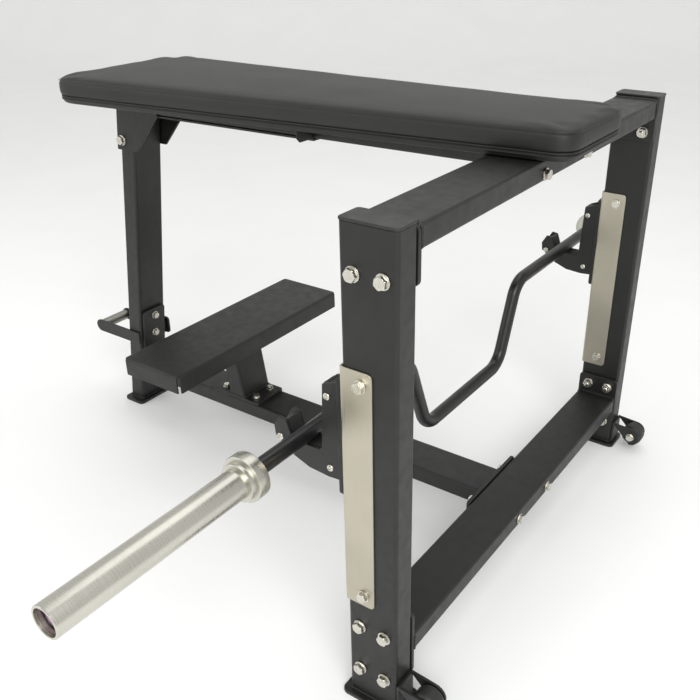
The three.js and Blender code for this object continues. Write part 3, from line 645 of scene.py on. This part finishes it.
def bottom_beam():
    """Tube from the leaning leg to the lower crossbeam, with a plate at each end."""
    low, high = corner("bottom_beam")
    back = LEG_HALF + 2 * GAP
    tube = round_outline(BEAM_WIDTH, BEAM_HEIGHT, BEAM_RADIUS, (0, BOTTOM_BEAM_TOP - BEAM_HEIGHT / 2))
    leg_plate = round_outline(LEG_PLATE_WIDTH, high.z - low.z, FLANGE_RADIUS, (0, (low.z + high.z) / 2))
    front_plate = round_outline(high.y - low.y, FRONT_PLATE_HEIGHT, BEAM_RADIUS,
                                (0, LOWER_BEAM_TOP - BEAM_HEIGHT / 2))
    coated([
        prism(tube, lambda a, b: (leg_x(b) + back + PLATE / 2, a, b),
              lambda a, b: (high.x - PLATE / 2, a, b)),
        prism(leg_plate, lambda a, b: (leg_x(b) + back, a, b), lambda a, b: (leg_x(b) + back + PLATE, a, b)),
        straight_prism("X", high.x - PLATE, high.x, front_plate)], "bottom_beam")


def spine_beam():
    """Tilted tube under the pad, its doubler strip and the plate against the top crossbeam."""
    low, high = corner("spine_beam")
    top = PAD_PIVOT.z
    middle = (0, top - SPINE_HEIGHT / 2)
    under = top - SPINE_HEIGHT
    tube = straight_prism("X", low.x, high.x - PLATE / 2,
                          round_outline(2 * SPINE_HALF, SPINE_HEIGHT, BEAM_RADIUS, middle))
    strip = straight_prism("X", low.x, DOUBLER_END_X,
                           round_outline(2 * SPINE_HALF, DOUBLER, 0.001, (0, under - DOUBLER / 2), 2))
    for part in (tube, strip):
        part.transform(tilt_matrix())
    plate = round_outline(high.y - low.y, SPINE_HEIGHT, BEAM_RADIUS, middle)
    coated([tube, strip, straight_prism("X", high.x - PLATE, high.x, plate)], "spine_beam")


def steel_frame():
    """Give every plain steel node rounded arrises and the satin coat."""
    crossbeam("top_crossbeam", corner("top_crossbeam")[1].z)
    crossbeam("lower_crossbeam", LOWER_BEAM_TOP)
    rear_leg()
    bottom_beam()
    spine_beam()
    heavy = ["rear_foot_plate", "leg_lug", "step_pedestal"]
    for side, _ in SIDES:
        heavy += [f"{part}_{side}" for part in
                  ("base_plate", "wheel_bracket", "gusset", "pad_bracket", "handle_arm", "hook")]
    for node in heavy:
        rounded_copy(node, COAT, 0.0011)
    for side, _ in SIDES:
        upright(side)
        rounded_copy(f"upright_cap_{side}", CAP, 0.0014, 3)
        rounded_copy(f"hook_liner_{side}", LINER, 0.0009)


def weld_bead(name, path, radius=0.0024, closed=True):
    """Rippled fillet bead laid along a path and covered by the coat."""
    points = []
    step = 0.0026
    stops = path + [path[0]] if closed else path
    for a, b in zip(stops, stops[1:]):
        count = max(int((b - a).length / step), 1)
        points += [a.lerp(b, k / count) for k in range(count)]
    if not closed:
        points.append(stops[-1])
    radii = [radius * (1 + 0.16 * math.sin(i * 1.9)) for i in range(len(points))]
    return piece_from(sweep(points, radius, 8, closed, radii), name, COAT, "frame", (), 60)


def rectangle(middle, first, second, corner_cut=0.006):
    """Rounded rectangle of points from two half-extent vectors."""
    a, b = Vector(first), Vector(second)
    c = corner_cut
    ca, cb = a.normalized() * c, b.normalized() * c
    return [middle + p for p in (
        a - b + cb, a + b - cb, a + b - ca, -a + b + ca, -a + b - cb, -a - b + cb, -a - b + ca, a - b - ca)]


WIDE, HIGH, DEEP = 0.0505, 0.0205, 0.0255      # half extents of the beads round beams and uprights
SPINE_BEAD, LEG_BEAD, PEDESTAL_BEAD = 0.0455, 0.0258, 0.0495
BEAD_STAND, FOOT_BEAD_Z, PEDESTAL_BEAD_Z = 0.0008, 0.0092, 0.1512


def welds():
    """Beads where tubes meet their flange and base plates."""
    beads = []
    tops = (("top_crossbeam", corner("top_crossbeam")[1].z), ("lower_crossbeam", LOWER_BEAM_TOP))
    for side, sign in SIDES:
        foot = centre(f"upright_{side}")
        beads.append((f"upright_foot_{side}", (foot.x, foot.y, FOOT_BEAD_Z), (WIDE, 0, 0), (0, DEEP, 0)))
        for name, top in tops:
            y = sign * (corner(name)[1].y - PLATE - BEAD_STAND)
            beads.append((f"{name}_{side}", (foot.x, y, top - BEAM_HEIGHT / 2), (WIDE, 0, 0), (0, 0, HIGH)))
    front = corner("bottom_beam")[1].x - PLATE - BEAD_STAND
    beads += [
        ("bottom_beam_front", (front, 0, BOTTOM_BEAM_TOP - BEAM_HEIGHT / 2), (0, WIDE, 0), (0, 0, HIGH)),
        ("spine_front", (front, 0, PAD_PIVOT.z - SPINE_HEIGHT / 2), (0, SPINE_BEAD, 0), (0, 0, HIGH)),
        ("leg_foot", (leg_x(FOOT_BEAD_Z), 0, FOOT_BEAD_Z), (LEG_BEAD, 0, 0), (0, SPINE_BEAD, 0)),
        ("pedestal_foot", (PEDESTAL_POST_X, 0, PEDESTAL_BEAD_Z), (LEG_BEAD, 0, 0), (0, PEDESTAL_BEAD, 0)),
    ]
    for name, middle, first, second in beads:
        weld_bead(f"weld_{name}", rectangle(Vector(middle), first, second))


# ---------------------------------------------------------------- folded sheet pieces

def bent_strip(outline, thickness, span, axis):
    """Sheet of even thickness that follows an outline of (a, z) points and runs along the other axis."""
    offset = []
    count = len(outline)
    for i, point in enumerate(outline):
        before = Vector(outline[max(i - 1, 0)])
        after = Vector(outline[min(i + 1, count - 1)])
        along = (after - before).normalized()
        offset.append(Vector(point) + Vector((along.y, -along.x)) * thickness)
    loop = [Vector(p) for p in outline] + list(reversed(offset))
    bm = bmesh.new()
    ends = []
    for s in span:
        ends.append([bm.verts.new((p.x, s, p.y) if axis == "Y" else (s, p.x, p.y)) for p in loop])
    skin(bm, ends, False)
    for i in range(count - 1):
        j = len(loop) - 1 - i
        for ring in ends:
            bm.faces.new((ring[i], ring[i + 1], ring[j - 1], ring[j]))
    return bm


def arc_points(cx, cz, radius, start, end, steps=6):
    angles = (math.radians(start + (end - start) * k / steps) for k in range(steps + 1))
    return [(cx + radius * math.cos(a), cz + radius * math.sin(a)) for a in angles]


def step_tray():
    """Tray folded from one sheet: two long lips, two end lips and open corner reliefs."""
    low, high = corner("step_tray")
    bend, sheet, relief = 0.007, 0.004, 0.0075
    long_lips = ([(low.x, low.z)] + arc_points(low.x + bend, high.z - bend, bend, 180, 90)
                 + arc_points(high.x - bend, high.z - bend, bend, 90, 0) + [(high.x, low.z)])
    channel = bent_strip(long_lips, sheet, (low.y + bend, high.y - bend), "Y")
    parts = [channel]
    for sign in (-1, 1):
        edge = high.y if sign > 0 else low.y
        lip = arc_points(0, high.z - bend, bend, 90, 0) + [(bend, low.z)]
        flap = bent_strip(lip, sheet, (low.x + relief, high.x - relief), "X")
        move = Matrix.Translation((0, edge - sign * bend, 0)) @ Matrix.Diagonal((1, sign, 1, 1))
        flap.transform(move)
        parts.append(flap)
    bm = merge(parts)
    bmesh.ops.recalc_face_normals(bm, faces=bm.faces)
    obj = piece_from(bm, "folded_step_tray", COAT, "frame", ("step_tray",), 38)
    soften(obj, 0.0007, 2, 50)
    return obj


def guards():
    """Stainless guards: a sheet with round corners, folded round each upright's rear corner."""
    thickness, bend, corner_radius = 0.003, 0.0055, 0.009
    for side, _ in SIDES:
        low, high = corner(f"guard_{side}")
        flat = (high.x - low.x) - bend
        turn = math.pi / 2 * bend
        leaf = (high.y - low.y) - bend
        length = flat + turn + leaf
        rounding = [corner_radius * (1 - math.cos(k * math.pi / 16)) for k in range(1, 9)]
        stops = sorted({0.0, length, *rounding, *(length - u for u in rounding)}
                       | {flat + turn * k / 8 for k in range(9)} | {flat * k / 6 for k in range(1, 6)})
        bm = bmesh.new()
        columns = []
        for u in stops:
            inset = 0.0
            near_end = min(u, length - u)
            if near_end < corner_radius:
                inset = corner_radius - math.sqrt(corner_radius ** 2 - (corner_radius - near_end) ** 2)
            if u <= flat:
                x, y, outward = high.x - u, low.y, Vector((0, -1, 0))
            elif u <= flat + turn:
                angle = (u - flat) / bend
                x = low.x + bend - bend * math.sin(angle)
                y = low.y + bend - bend * math.cos(angle)
                outward = Vector((-math.sin(angle), -math.cos(angle), 0))
            else:
                x, y, outward = low.x, low.y + bend + (u - flat - turn), Vector((-1, 0, 0))
            column = []
            for z in (low.z + inset, high.z - inset):
                outside = Vector((x, y, z))
                column.append((bm.verts.new(outside), bm.verts.new(outside - outward * thickness)))
            columns.append(column)
        for here, there in zip(columns, columns[1:]):
            bm.faces.new((here[0][0], there[0][0], there[1][0], here[1][0]))
            bm.faces.new((here[0][1], here[1][1], there[1][1], there[0][1]))
            bm.faces.new((here[0][0], here[0][1], there[0][1], there[0][0]))
            bm.faces.new((here[1][0], there[1][0], there[1][1], here[1][1]))
        for column in (columns[0], columns[-1]):
            bm.faces.new((column[0][0], column[1][0], column[1][1], column[0][1]))
        obj = piece_from(bm, f"guard_{side}_sheet", STAINLESS, "frame", (f"guard_{side}",), 35)
        soften(obj, 0.0005, 2, 60)


# ---------------------------------------------------------------- bar

SHAFT_RADIUS = 0.014


def bar_shaft():
    """Cambered bar: one smooth black tube with rolled bends."""
    low, high = corner("bar_shaft")
    drop = (high.z - low.z) - 2 * SHAFT_RADIUS
    end = high.y
    top, under, radius = 0.232, 0.160, 0.052
    corners = [Vector((0, -end, 0)), Vector((0, -top, 0)), Vector((0, -under, -drop)),
               Vector((0, under, -drop)), Vector((0, top, 0)), Vector((0, end, 0))]
    path = [corners[0]]
    for i in range(1, len(corners) - 1):
        here = corners[i]
        before = (corners[i - 1] - here).normalized()
        after = (corners[i + 1] - here).normalized()
        angle = before.angle(after)
        reach = radius / math.tan(angle / 2)
        middle = here + (before + after).normalized() * radius / math.sin(angle / 2)
        a, b = here + before * reach - middle, here + after * reach - middle
        turn = a.angle(b)
        axis = a.cross(b).normalized()
        path += [middle + Matrix.Rotation(turn * k / 14, 4, axis) @ a for k in range(15)]
    path.append(corners[-1])
    shift = Vector((BAR_AXIS.x, 0, high.z - SHAFT_RADIUS))
    up_path = [p + shift for p in path]
    bm = bmesh.new()
    sides = 40
    rings = []
    for i, point in enumerate(up_path):
        before = up_path[max(i - 1, 0)]
        after = up_path[min(i + 1, len(up_path) - 1)]
        along = (after - before).normalized()
        side = Vector((1, 0, 0))
        over = along.cross(side).normalized()
        rings.append(circle(bm, point, SHAFT_RADIUS, side, over, sides))
    skin(bm, rings)
    return piece_from(bm, "cambered_bar", BAR_BLACK, "bar", ("bar_shaft",), 50)


def sleeve(side, sign):
    """Plate sleeve: collar disc and shoulder by the shaft, chamfered open end with a snap ring and disc."""
    inner, outer = SLEEVE_INNER, SLEEVE_OUTER
    body = f"{side}_sleeve"
    bore, shaft, barrel, shoulder, collar = 0.021, 0.0145, 0.025, 0.032, 0.039
    collar_end, seat_end, shoulder_end = inner + 0.023, inner + 0.030, inner + 0.033
    outline = [
        (shaft, inner), (collar, inner), (collar, collar_end), (shoulder, collar_end),
        (shoulder, shoulder_end), (barrel, shoulder_end), (barrel, outer), (bore, outer),
        (bore, seat_end), (shaft, seat_end),
    ]
    cuts = [0.0006, 0.002, 0.002, 0, 0.0012, 0, 0.002, 0.0008, 0, 0.0004]
    place = Matrix.Translation(BAR_AXIS) @ Matrix.Diagonal((1, sign, 1, 1))
    tube = piece_from(lathe(chamfered(outline, cuts), 96), f"sleeve_{side}_tube", SLEEVE_STEEL, body,
                      (f"sleeve_{side}",), 32, place)
    low = inner + 0.031
    bushing = [(shaft, low), (bore - 0.0006, low), (bore - 0.0006, low + 0.029), (shaft, low + 0.029)]
    piece_from(lathe(chamfered(bushing, 0.0012), 64), f"sleeve_{side}_bushing", BRONZE, body,
               (f"sleeve_bushing_{side}",), 32, place)
    face = outer - 0.013
    rim = bore - 0.0007
    disc = [(0.0001, face - 0.004), (rim, face - 0.004), (rim, face - 0.0006), (0.0172, face),
            (0.0164, face - 0.0012), (0.0068, face - 0.0012), (0.006, face - 0.0004), (0.0001, face - 0.0004)]
    piece_from(lathe(disc, 64), f"sleeve_{side}_end_disc", INSERT, body, (f"sleeve_end_{side}",), 32, place)
    snap_ring(side, place, face + 0.0016, bore, body)
    return tube


def snap_ring(side, place, y, bore, body):
    """Open circlip with two eyes, sprung into the sleeve's bore."""
    radius = bore - 0.0012
    gap = 0.32
    points = [Vector((radius * math.cos(a), y, radius * math.sin(a)))
              for a in (gap + (2 * math.pi - 2 * gap) * k / 60 for k in range(61))]
    bm = sweep(points, 0.0011, 10)
    eyes = []
    for turn in (gap, 2 * math.pi - gap):
        middle = Vector(((radius - 0.0026) * math.cos(turn), y, (radius - 0.0026) * math.sin(turn)))
        ring = [(0.0009, -0.0009), (0.0026, -0.0009), (0.0026, 0.0009), (0.0009, 0.0009)]
        eye = lathe(chamfered(ring, 0.0003), 28)
        eye.transform(Matrix.Translation(middle))
        eyes.append(eye)
    piece_from(merge([bm, *eyes]), f"sleeve_{side}_snap_ring", RECESS, body, (), 35, place)


# ---------------------------------------------------------------- hooks, handle and wheels

HOOK_SCREWS = ((-0.1335, 0.619), (-0.1314, 0.486), (-0.2346, 0.5096))    # x from the uprights' front, z
HOOK_PLATE_SCREW_HEIGHTS = (0.452, 0.656)
HOOK_FACE, HOOK_PLATE = 0.0201, 0.0083


def hook_screws():
    """Screws through the side plates that hold each hook's liner blocks."""
    for side, _ in SIDES:
        middle_y = centre(f"upright_{side}").y
        for k, (x, z) in enumerate(HOOK_SCREWS):
            for face in (-1, 1):
                screw(f"hook_screw_{side}_{k + 1}_{'in' if face > 0 else 'out'}",
                      (x + UPRIGHT_FRONT_X, middle_y + face * HOOK_FACE, z), (0, face, 0))
        plate_x = corner(f"hook_{side}")[1].x - HOOK_PLATE
        for k, z in enumerate(HOOK_PLATE_SCREW_HEIGHTS):
            screw(f"hook_plate_screw_{side}_{k + 1}", (plate_x, middle_y, z), (-1, 0, 0), 0.0055)


def handle_grip():
    """Bare steel grip tube, turned slightly in at its ends."""
    low, high = corner("handle_grip")
    radius = (high.x - low.x) / 2
    bore = radius - 0.002
    middle = centre("handle_grip")
    outline = [(bore, low.y), (radius, low.y), (radius, high.y), (bore, high.y)]
    piece_from(lathe(chamfered(outline, 0.0008), 64), "carry_grip_tube", GRIP_STEEL, "frame",
               ("handle_grip",), 35, Matrix.Translation((middle.x, 0, middle.z)))


def wheel(side):
    """Moulded wheel: crowned tread, recessed web and a hub boss."""
    middle = WHEEL_CENTRE[side]
    low, high = corner(f"wheel_{side}")
    half = (high.y - low.y) / 2
    radius = (high.x - low.x) / 2
    bore = 0.007
    outline = [(bore, -half), (0.013, -half), (0.014, -half + 0.004), (radius - 0.010, -half + 0.004),
               (radius - 0.008, -half), (radius - 0.004, -half), (radius, -half + 0.005)]
    outline += [(r, -h) for r, h in reversed(outline)]
    cuts = [0.0005, 0.001, 0.001, 0.0015, 0.001, 0.0016, 0.003]
    cuts += list(reversed(cuts))
    piece_from(lathe(chamfered(outline, cuts), 72), f"wheel_{side}_moulding", TYRE, f"{side}_wheel",
               (f"wheel_{side}",), 32, Matrix.Translation(middle))


def wheel_axle(side):
    """Axle bolt with a hex head and a lock nut outside the bracket arms."""
    low, high = corner(f"wheel_axle_{side}")
    radius, flats, height, washer, thick = 0.006, 0.016, 0.0065, 0.0105, 0.0014
    reach = (high.y - low.y) / 2 - 0.008
    pin = lathe(chamfered([(0.0001, -reach), (radius, -reach), (radius, reach), (0.0001, reach)], 0), 32, "Z")
    head, nut = hex_solid(flats, height), hex_solid(flats, height)
    head.transform(Matrix.Translation((0, 0, reach + thick)))
    nut.transform(Matrix.Translation((0, 0, -reach - thick)) @ Matrix.Rotation(math.pi, 4, "X"))
    rings = [washer_solid(washer, radius, thick, z) for z in (reach, -reach - thick)]
    matrix = Matrix.Translation((low + high) / 2) @ facing((0, -1, 0))
    piece_from(merge([pin, head, nut, *rings]), f"wheel_{side}_axle_bolt", ZINC, "frame",
               (f"wheel_axle_{side}",), 30, matrix)


# ---------------------------------------------------------------- upholstery

REAR, FRONT = PAD_LOW.x, PAD_HIGH.x
REAR_HALF, FRONT_HALF = 0.200, 0.130
REAR_ROUND, FRONT_ROUND = 0.060, 0.045


def half_width(x):
    """Half width of the pad's plan outline at x, with its rounded corners."""
    share = (x - REAR - REAR_ROUND) / (FRONT - FRONT_ROUND - REAR - REAR_ROUND)
    plain = REAR_HALF + (FRONT_HALF - REAR_HALF) * min(max(share, 0), 1)
    if x < REAR + REAR_ROUND:
        t = 1 - math.sqrt(max((x - REAR) / REAR_ROUND, 0))
        return plain - REAR_ROUND * t * t
    if x > FRONT - FRONT_ROUND:
        t = 1 - math.sqrt(max((FRONT - x) / FRONT_ROUND, 0))
        return plain - FRONT_ROUND * t * t
    return plain


def outline_columns(spacing):
    rear = [REAR + REAR_ROUND * (k / 8) ** 2 for k in range(8)]
    front = [FRONT - FRONT_ROUND * (k / 7) ** 2 for k in range(7)]
    straight = FRONT - FRONT_ROUND - REAR - REAR_ROUND
    count = round(straight / spacing)
    middle = [REAR + REAR_ROUND + straight * k / count for k in range(count + 1)]
    return rear + middle + list(reversed(front))


def pad_mesh(levels, spacing, rows):
    """Closed quad mesh of the pad: a grid on top, rings down the side at each level, a grid below.

    Each level is (inset, z) and the first and last carry the two grids.
    """
    columns = outline_columns(spacing)
    last = len(columns) - 1
    edge = [(i, 0) for i in range(last + 1)] + [(last, j) for j in range(1, rows + 1)]
    edge += [(i, rows) for i in range(last - 1, -1, -1)] + [(0, j) for j in range(rows - 1, 0, -1)]
    bm = bmesh.new()
    middle_x = (REAR + FRONT) / 2

    def vertex(i, j, inset, z):
        shrink = 1 - inset / ((FRONT - REAR) / 2)
        y = (2 * j / rows - 1) * (half_width(columns[i]) - inset)
        return bm.verts.new((middle_x + (columns[i] - middle_x) * shrink, y, z))

    def grid(inset, z):
        return [[vertex(i, j, inset, z) for j in range(rows + 1)] for i in range(last + 1)]

    def fill(cells):
        for i in range(last):
            for j in range(rows):
                bm.faces.new((cells[i][j], cells[i + 1][j], cells[i + 1][j + 1], cells[i][j + 1]))

    top = grid(*levels[0])
    bottom = grid(*levels[-1])
    fill(top)
    fill(bottom)
    rings = [[top[i][j] for i, j in edge]]
    rings += [[vertex(i, j, *level) for i, j in edge] for level in levels[1:-1]]
    rings.append([bottom[i][j] for i, j in edge])
    skin(bm, rings, False)
    return bm, rings


def tilt_matrix():
    return Matrix.Translation(PAD_PIVOT) @ Matrix.Rotation(PAD_TILT, 4, "Y") @ Matrix.Translation(-PAD_PIVOT)


PAD_TOP = 0.9685
SEAM_Z = PAD_TOP - 0.0125
LOWER_SEAM_Z = PAD_TOP - 0.041
PAD_FOOT = PAD_TOP - 0.0445
PAD_UNDERSIDE = 0.9095
PAD_SPACING = 0.0095
MOST_SWELL = 0.0022
CLOTH_FRAMES = 16


def inflate(obj, held, most):
    """Blow the cushion up as stretched cloth with its seams held, and cap how far it swells."""
    rest = [v.co.copy() for v in obj.data.vertices]
    group = obj.vertex_groups.new(name="seams")
    group.add(held, 1.0, "REPLACE")
    cloth = obj.modifiers.new("cloth", "CLOTH")
    settings = cloth.settings
    settings.quality = 6
    settings.mass = 0.4
    settings.tension_stiffness = 25
    settings.compression_stiffness = 25
    settings.shear_stiffness = 12
    settings.bending_stiffness = 4
    settings.use_pressure = True
    settings.uniform_pressure_force = 5
    settings.effector_weights.gravity = 0
    settings.vertex_group_mass = "seams"
    cloth.collision_settings.use_collision = False
    cloth.collision_settings.use_self_collision = False
    cloth.point_cache.frame_start = 1
    cloth.point_cache.frame_end = CLOTH_FRAMES
    for number in range(1, CLOTH_FRAMES + 1):
        scene.frame_set(number)
    apply_modifiers(obj)
    scene.frame_set(1)
    for vertex, before in zip(obj.data.vertices, rest):
        move = vertex.co - before
        if move.length > most:
            vertex.co = before + move.normalized() * (most + (move.length - most) * 0.08)


def cushion():
    """Upper cushion: flat-crowned vinyl over foam, a top seam round its shoulder and a tucked lower edge."""
    levels = [
        (0.016, PAD_TOP - 0.0022), (0.010, PAD_TOP - 0.0030), (0.0058, PAD_TOP - 0.0052),
        (0.0035, PAD_TOP - 0.0085),
        (0.0034, SEAM_Z + 0.0014), (0.0052, SEAM_Z), (0.0034, SEAM_Z - 0.0014), (0.0027, SEAM_Z - 0.005),
        (0.0021, SEAM_Z - 0.011), (0.0019, SEAM_Z - 0.017), (0.0022, SEAM_Z - 0.023),
        (0.0030, LOWER_SEAM_Z + 0.0014), (0.0050, LOWER_SEAM_Z), (0.0052, PAD_FOOT + 0.0015),
        (0.012, PAD_FOOT),
    ]
    bm, rings = pad_mesh(levels, PAD_SPACING, 34)
    bm.verts.index_update()
    held = [v.index for k in (5, 12, 13, 14) for v in rings[k]]
    low = [v.index for v in bm.verts if v.co.z < PAD_FOOT + 0.0016]
    obj = piece_from(bm, "pad_cushion", VINYL, "frame", ("bench_pad",), 75)
    inflate(obj, sorted(set(held + low)), MOST_SWELL)
    pucker(obj)
    obj.data.transform(tilt_matrix())
    subdivide(obj, 1)
    return obj


def pucker(obj):
    """Slight pulls in the vinyl beside its seams and a gentle unevenness of the foam."""
    for vertex in obj.data.vertices:
        co = vertex.co
        soft = noise.noise(co * 9)
        away = min(abs(co.z - SEAM_Z), abs(co.z - LOWER_SEAM_Z))
        near_seam = max(0.0, 1 - away / 0.012)
        pull = noise.noise(Vector((co.x * 60, co.y * 60, co.z * 15)))
        side = abs(co.y) > half_width(min(max(co.x, REAR + 0.001), FRONT - 0.001)) - 0.02
        if co.z > PAD_TOP - 0.003:
            vertex.co.z += 0.0009 * soft
        elif side and co.z > PAD_FOOT + 0.002:
            outward = Vector((0, math.copysign(1, co.y), 0))
            vertex.co += outward * (0.0006 * soft + 0.0005 * pull * near_seam)


def subdivide(obj, levels):
    modifier = obj.modifiers.new("fine", "SUBSURF")
    modifier.levels = levels
    modifier.render_levels = levels
    material = obj.data.materials[0]
    apply_modifiers(obj)
    if not obj.data.materials:
        obj.data.materials.append(material)
    for polygon in obj.data.polygons:
        polygon.use_smooth = True


def board_wrap():
    """Vinyl pulled down over the board's edge, with the dust cover under it."""
    z_high = PAD_FOOT - 0.0004
    z_low = PAD_UNDERSIDE
    levels = [
        (0.012, z_high), (0.0050, z_high - 0.0004), (0.0034, z_high - 0.0022), (0.0048, z_high - 0.0042),
        (0.0036, z_high - 0.0060), (0.0056, z_high - 0.0082), (0.0060, z_low + 0.003),
        (0.0078, z_low + 0.0008), (0.012, z_low), (0.02, z_low),
    ]
    bm, _ = pad_mesh(levels, PAD_SPACING, 26)
    obj = piece_from(bm, "pad_board_wrap", VINYL_EDGE, "frame", ("pad_board",), 75)
    obj.data.transform(tilt_matrix())
    subdivide(obj, 1)
    cloth = [(0.024, z_low - 0.0001), (0.0235, z_low - 0.0006), (0.024, z_low - 0.0011)]
    cover, _ = pad_mesh(cloth, 0.02, 12)
    under = piece_from(cover, "pad_dust_cover", BACKING, "frame", (), 60)
    under.data.transform(tilt_matrix())


def outline_loop(inset, z, spacing=0.006):
    """Points round the pad's outline at one level, in the tilted pad's place."""
    columns = outline_columns(spacing)
    middle_x = (REAR + FRONT) / 2
    shrink = 1 - inset / ((FRONT - REAR) / 2)
    lower = [Vector((middle_x + (x - middle_x) * shrink, -(half_width(x) - inset), z)) for x in columns]
    upper = [Vector((p.x, -p.y, z)) for p in reversed(lower)]
    matrix = tilt_matrix()
    return [matrix @ p for p in lower + upper]


def even_steps(loop, pitch):
    """Walk a closed loop in equal steps; gives (point, direction)."""
    result = []
    carry = 0.0
    for a, b in zip(loop, loop[1:] + loop[:1]):
        length = (b - a).length
        if length < 1e-9:
            continue
        direction = (b - a) / length
        at = carry
        while at < length:
            result.append((a + direction * at, direction))
            at += pitch
        carry = at - length
    return result


def stitching():
    """Rows of thread along both sides of the top seam, and piped welts at the pad's lower edge."""
    for name, inset, z in (("upper", 0.0031, SEAM_Z + 0.0034), ("lower", 0.0026, SEAM_Z - 0.0034)):
        bm = bmesh.new()
        for point, along in even_steps(outline_loop(inset, z), 0.0052):
            out = along.cross(Vector((0, 0, 1))).normalized()
            ends = [point - along * 0.0017, point + along * 0.0017]
            rings = []
            for t, r in ((0.0, 0.0001), (0.18, 0.00042), (0.5, 0.0005), (0.82, 0.00042), (1.0, 0.0001)):
                middle = ends[0].lerp(ends[1], t)
                rings.append(circle(bm, middle, r, out, Vector((0, 0, 1)), 6))
            skin(bm, rings)
        piece_from(bm, f"pad_stitches_{name}", THREAD, "frame", (), 60)
    for name, z in (("upper", PAD_FOOT + 0.0006), ("lower", PAD_FOOT - 0.0052)):
        welt = sweep(outline_loop(0.0046, z), 0.0019, 10, True)
        piece_from(welt, f"pad_welt_{name}", VINYL_EDGE, "frame", (), 60)


# ---------------------------------------------------------------- studio

CAMERA_TURN = (62.033, 0.446, 34.526)          # degrees about X, Y and Z
CAMERA_PLACE = (UPRIGHT_FRONT_X + 0.571, -1.4286, 1.2795)
CAMERA_LENS, CAMERA_SHIFT = 43.4, (-0.0362, 0.0147)
FLOOR_TURN, FLOOR_DROP = 34.5, 0.0005          # the backdrop faces the camera
SKY_COLOUR, SKY_STRENGTH = (1.0, 1.0, 0.99, 1), 0.75
LIGHTS = (                                     # name, place, target, size, power
    ("key_light", (2.6, -2.6, 2.9), (0.2, -0.2, 0.5), 2.6, 105),
    ("fill_light", (-2.6, -2.2, 2.2), (-0.2, 0, 0.5), 2.4, 22),
    ("top_light", (0.2, 0.8, 3.4), (0, 0, 0.5), 2.4, 18),
)


def studio():
    """Pale floor that runs up into a backdrop, and large soft lights."""
    material, tree, principled = shader("pale_floor", (0.93, 0.93, 0.925), 0.7)
    grain = noise_value(tree, 3, 3)
    tint(tree, principled, grain, (0.92, 0.92, 0.915), (0.94, 0.94, 0.935))
    bm = bmesh.new()
    sweep_up = [(6.0 + 2.0 * math.sin(math.radians(a)), 2.0 - 2.0 * math.cos(math.radians(a)))
                for a in range(10, 91, 10)]
    profile = [(-9.0, 0.0), (6.0, 0.0), *sweep_up, (8.0, 9.0)]
    rows = [[bm.verts.new((x, y, z)) for x in (-14.0, 14.0)] for y, z in profile]
    for here, there in zip(rows, rows[1:]):
        bm.faces.new((here[0], here[1], there[1], there[0]))
    bm.transform(Matrix.Rotation(math.radians(FLOOR_TURN), 4, "Z"))
    mesh = bpy.data.meshes.new("studio_floor")
    bm.to_mesh(mesh)
    bm.free()
    for polygon in mesh.polygons:
        polygon.use_smooth = True
    floor = bpy.data.objects.new("studio_floor", mesh)
    floor.location.z = -FLOOR_DROP
    mesh.materials.append(material)
    scene.collection.objects.link(floor)

    world = scene.world or bpy.data.worlds.new("studio")
    scene.world = world
    world.use_nodes = True
    background = world.node_tree.nodes["Background"].inputs
    background["Color"].default_value = SKY_COLOUR
    background["Strength"].default_value = SKY_STRENGTH
    for light in LIGHTS:
        area_light(*light)


def area_light(name, place, target, size, power):
    data = bpy.data.lights.new(name, "AREA")
    data.shape = "SQUARE"
    data.size = size
    data.energy = power
    light = bpy.data.objects.new(name, data)
    light.location = place
    light.rotation_euler = (Vector(target) - Vector(place)).to_track_quat("-Z", "Y").to_euler()
    scene.collection.objects.link(light)


def camera():
    data = bpy.data.cameras.new("camera")
    data.sensor_width = 36
    data.lens = CAMERA_LENS
    data.shift_x, data.shift_y = CAMERA_SHIFT
    eye = bpy.data.objects.new("camera", data)
    eye.location = CAMERA_PLACE
    eye.rotation_euler = [math.radians(a) for a in CAMERA_TURN]
    scene.collection.objects.link(eye)
    scene.camera = eye


# ---------------------------------------------------------------- assembly

scene.view_settings.view_transform = "Standard"
camera()
studio()
steel_frame()
welds()
step_tray()
guards()
frame_bolts()
crossbeam_face_bolts()
step_and_leg_bolts()
bar_shaft()
for side, sign in SIDES:
    sleeve(side, sign)
    wheel(side)
    wheel_axle(side)
hook_screws()
handle_grip()
cushion()
board_wrap()
stitching()
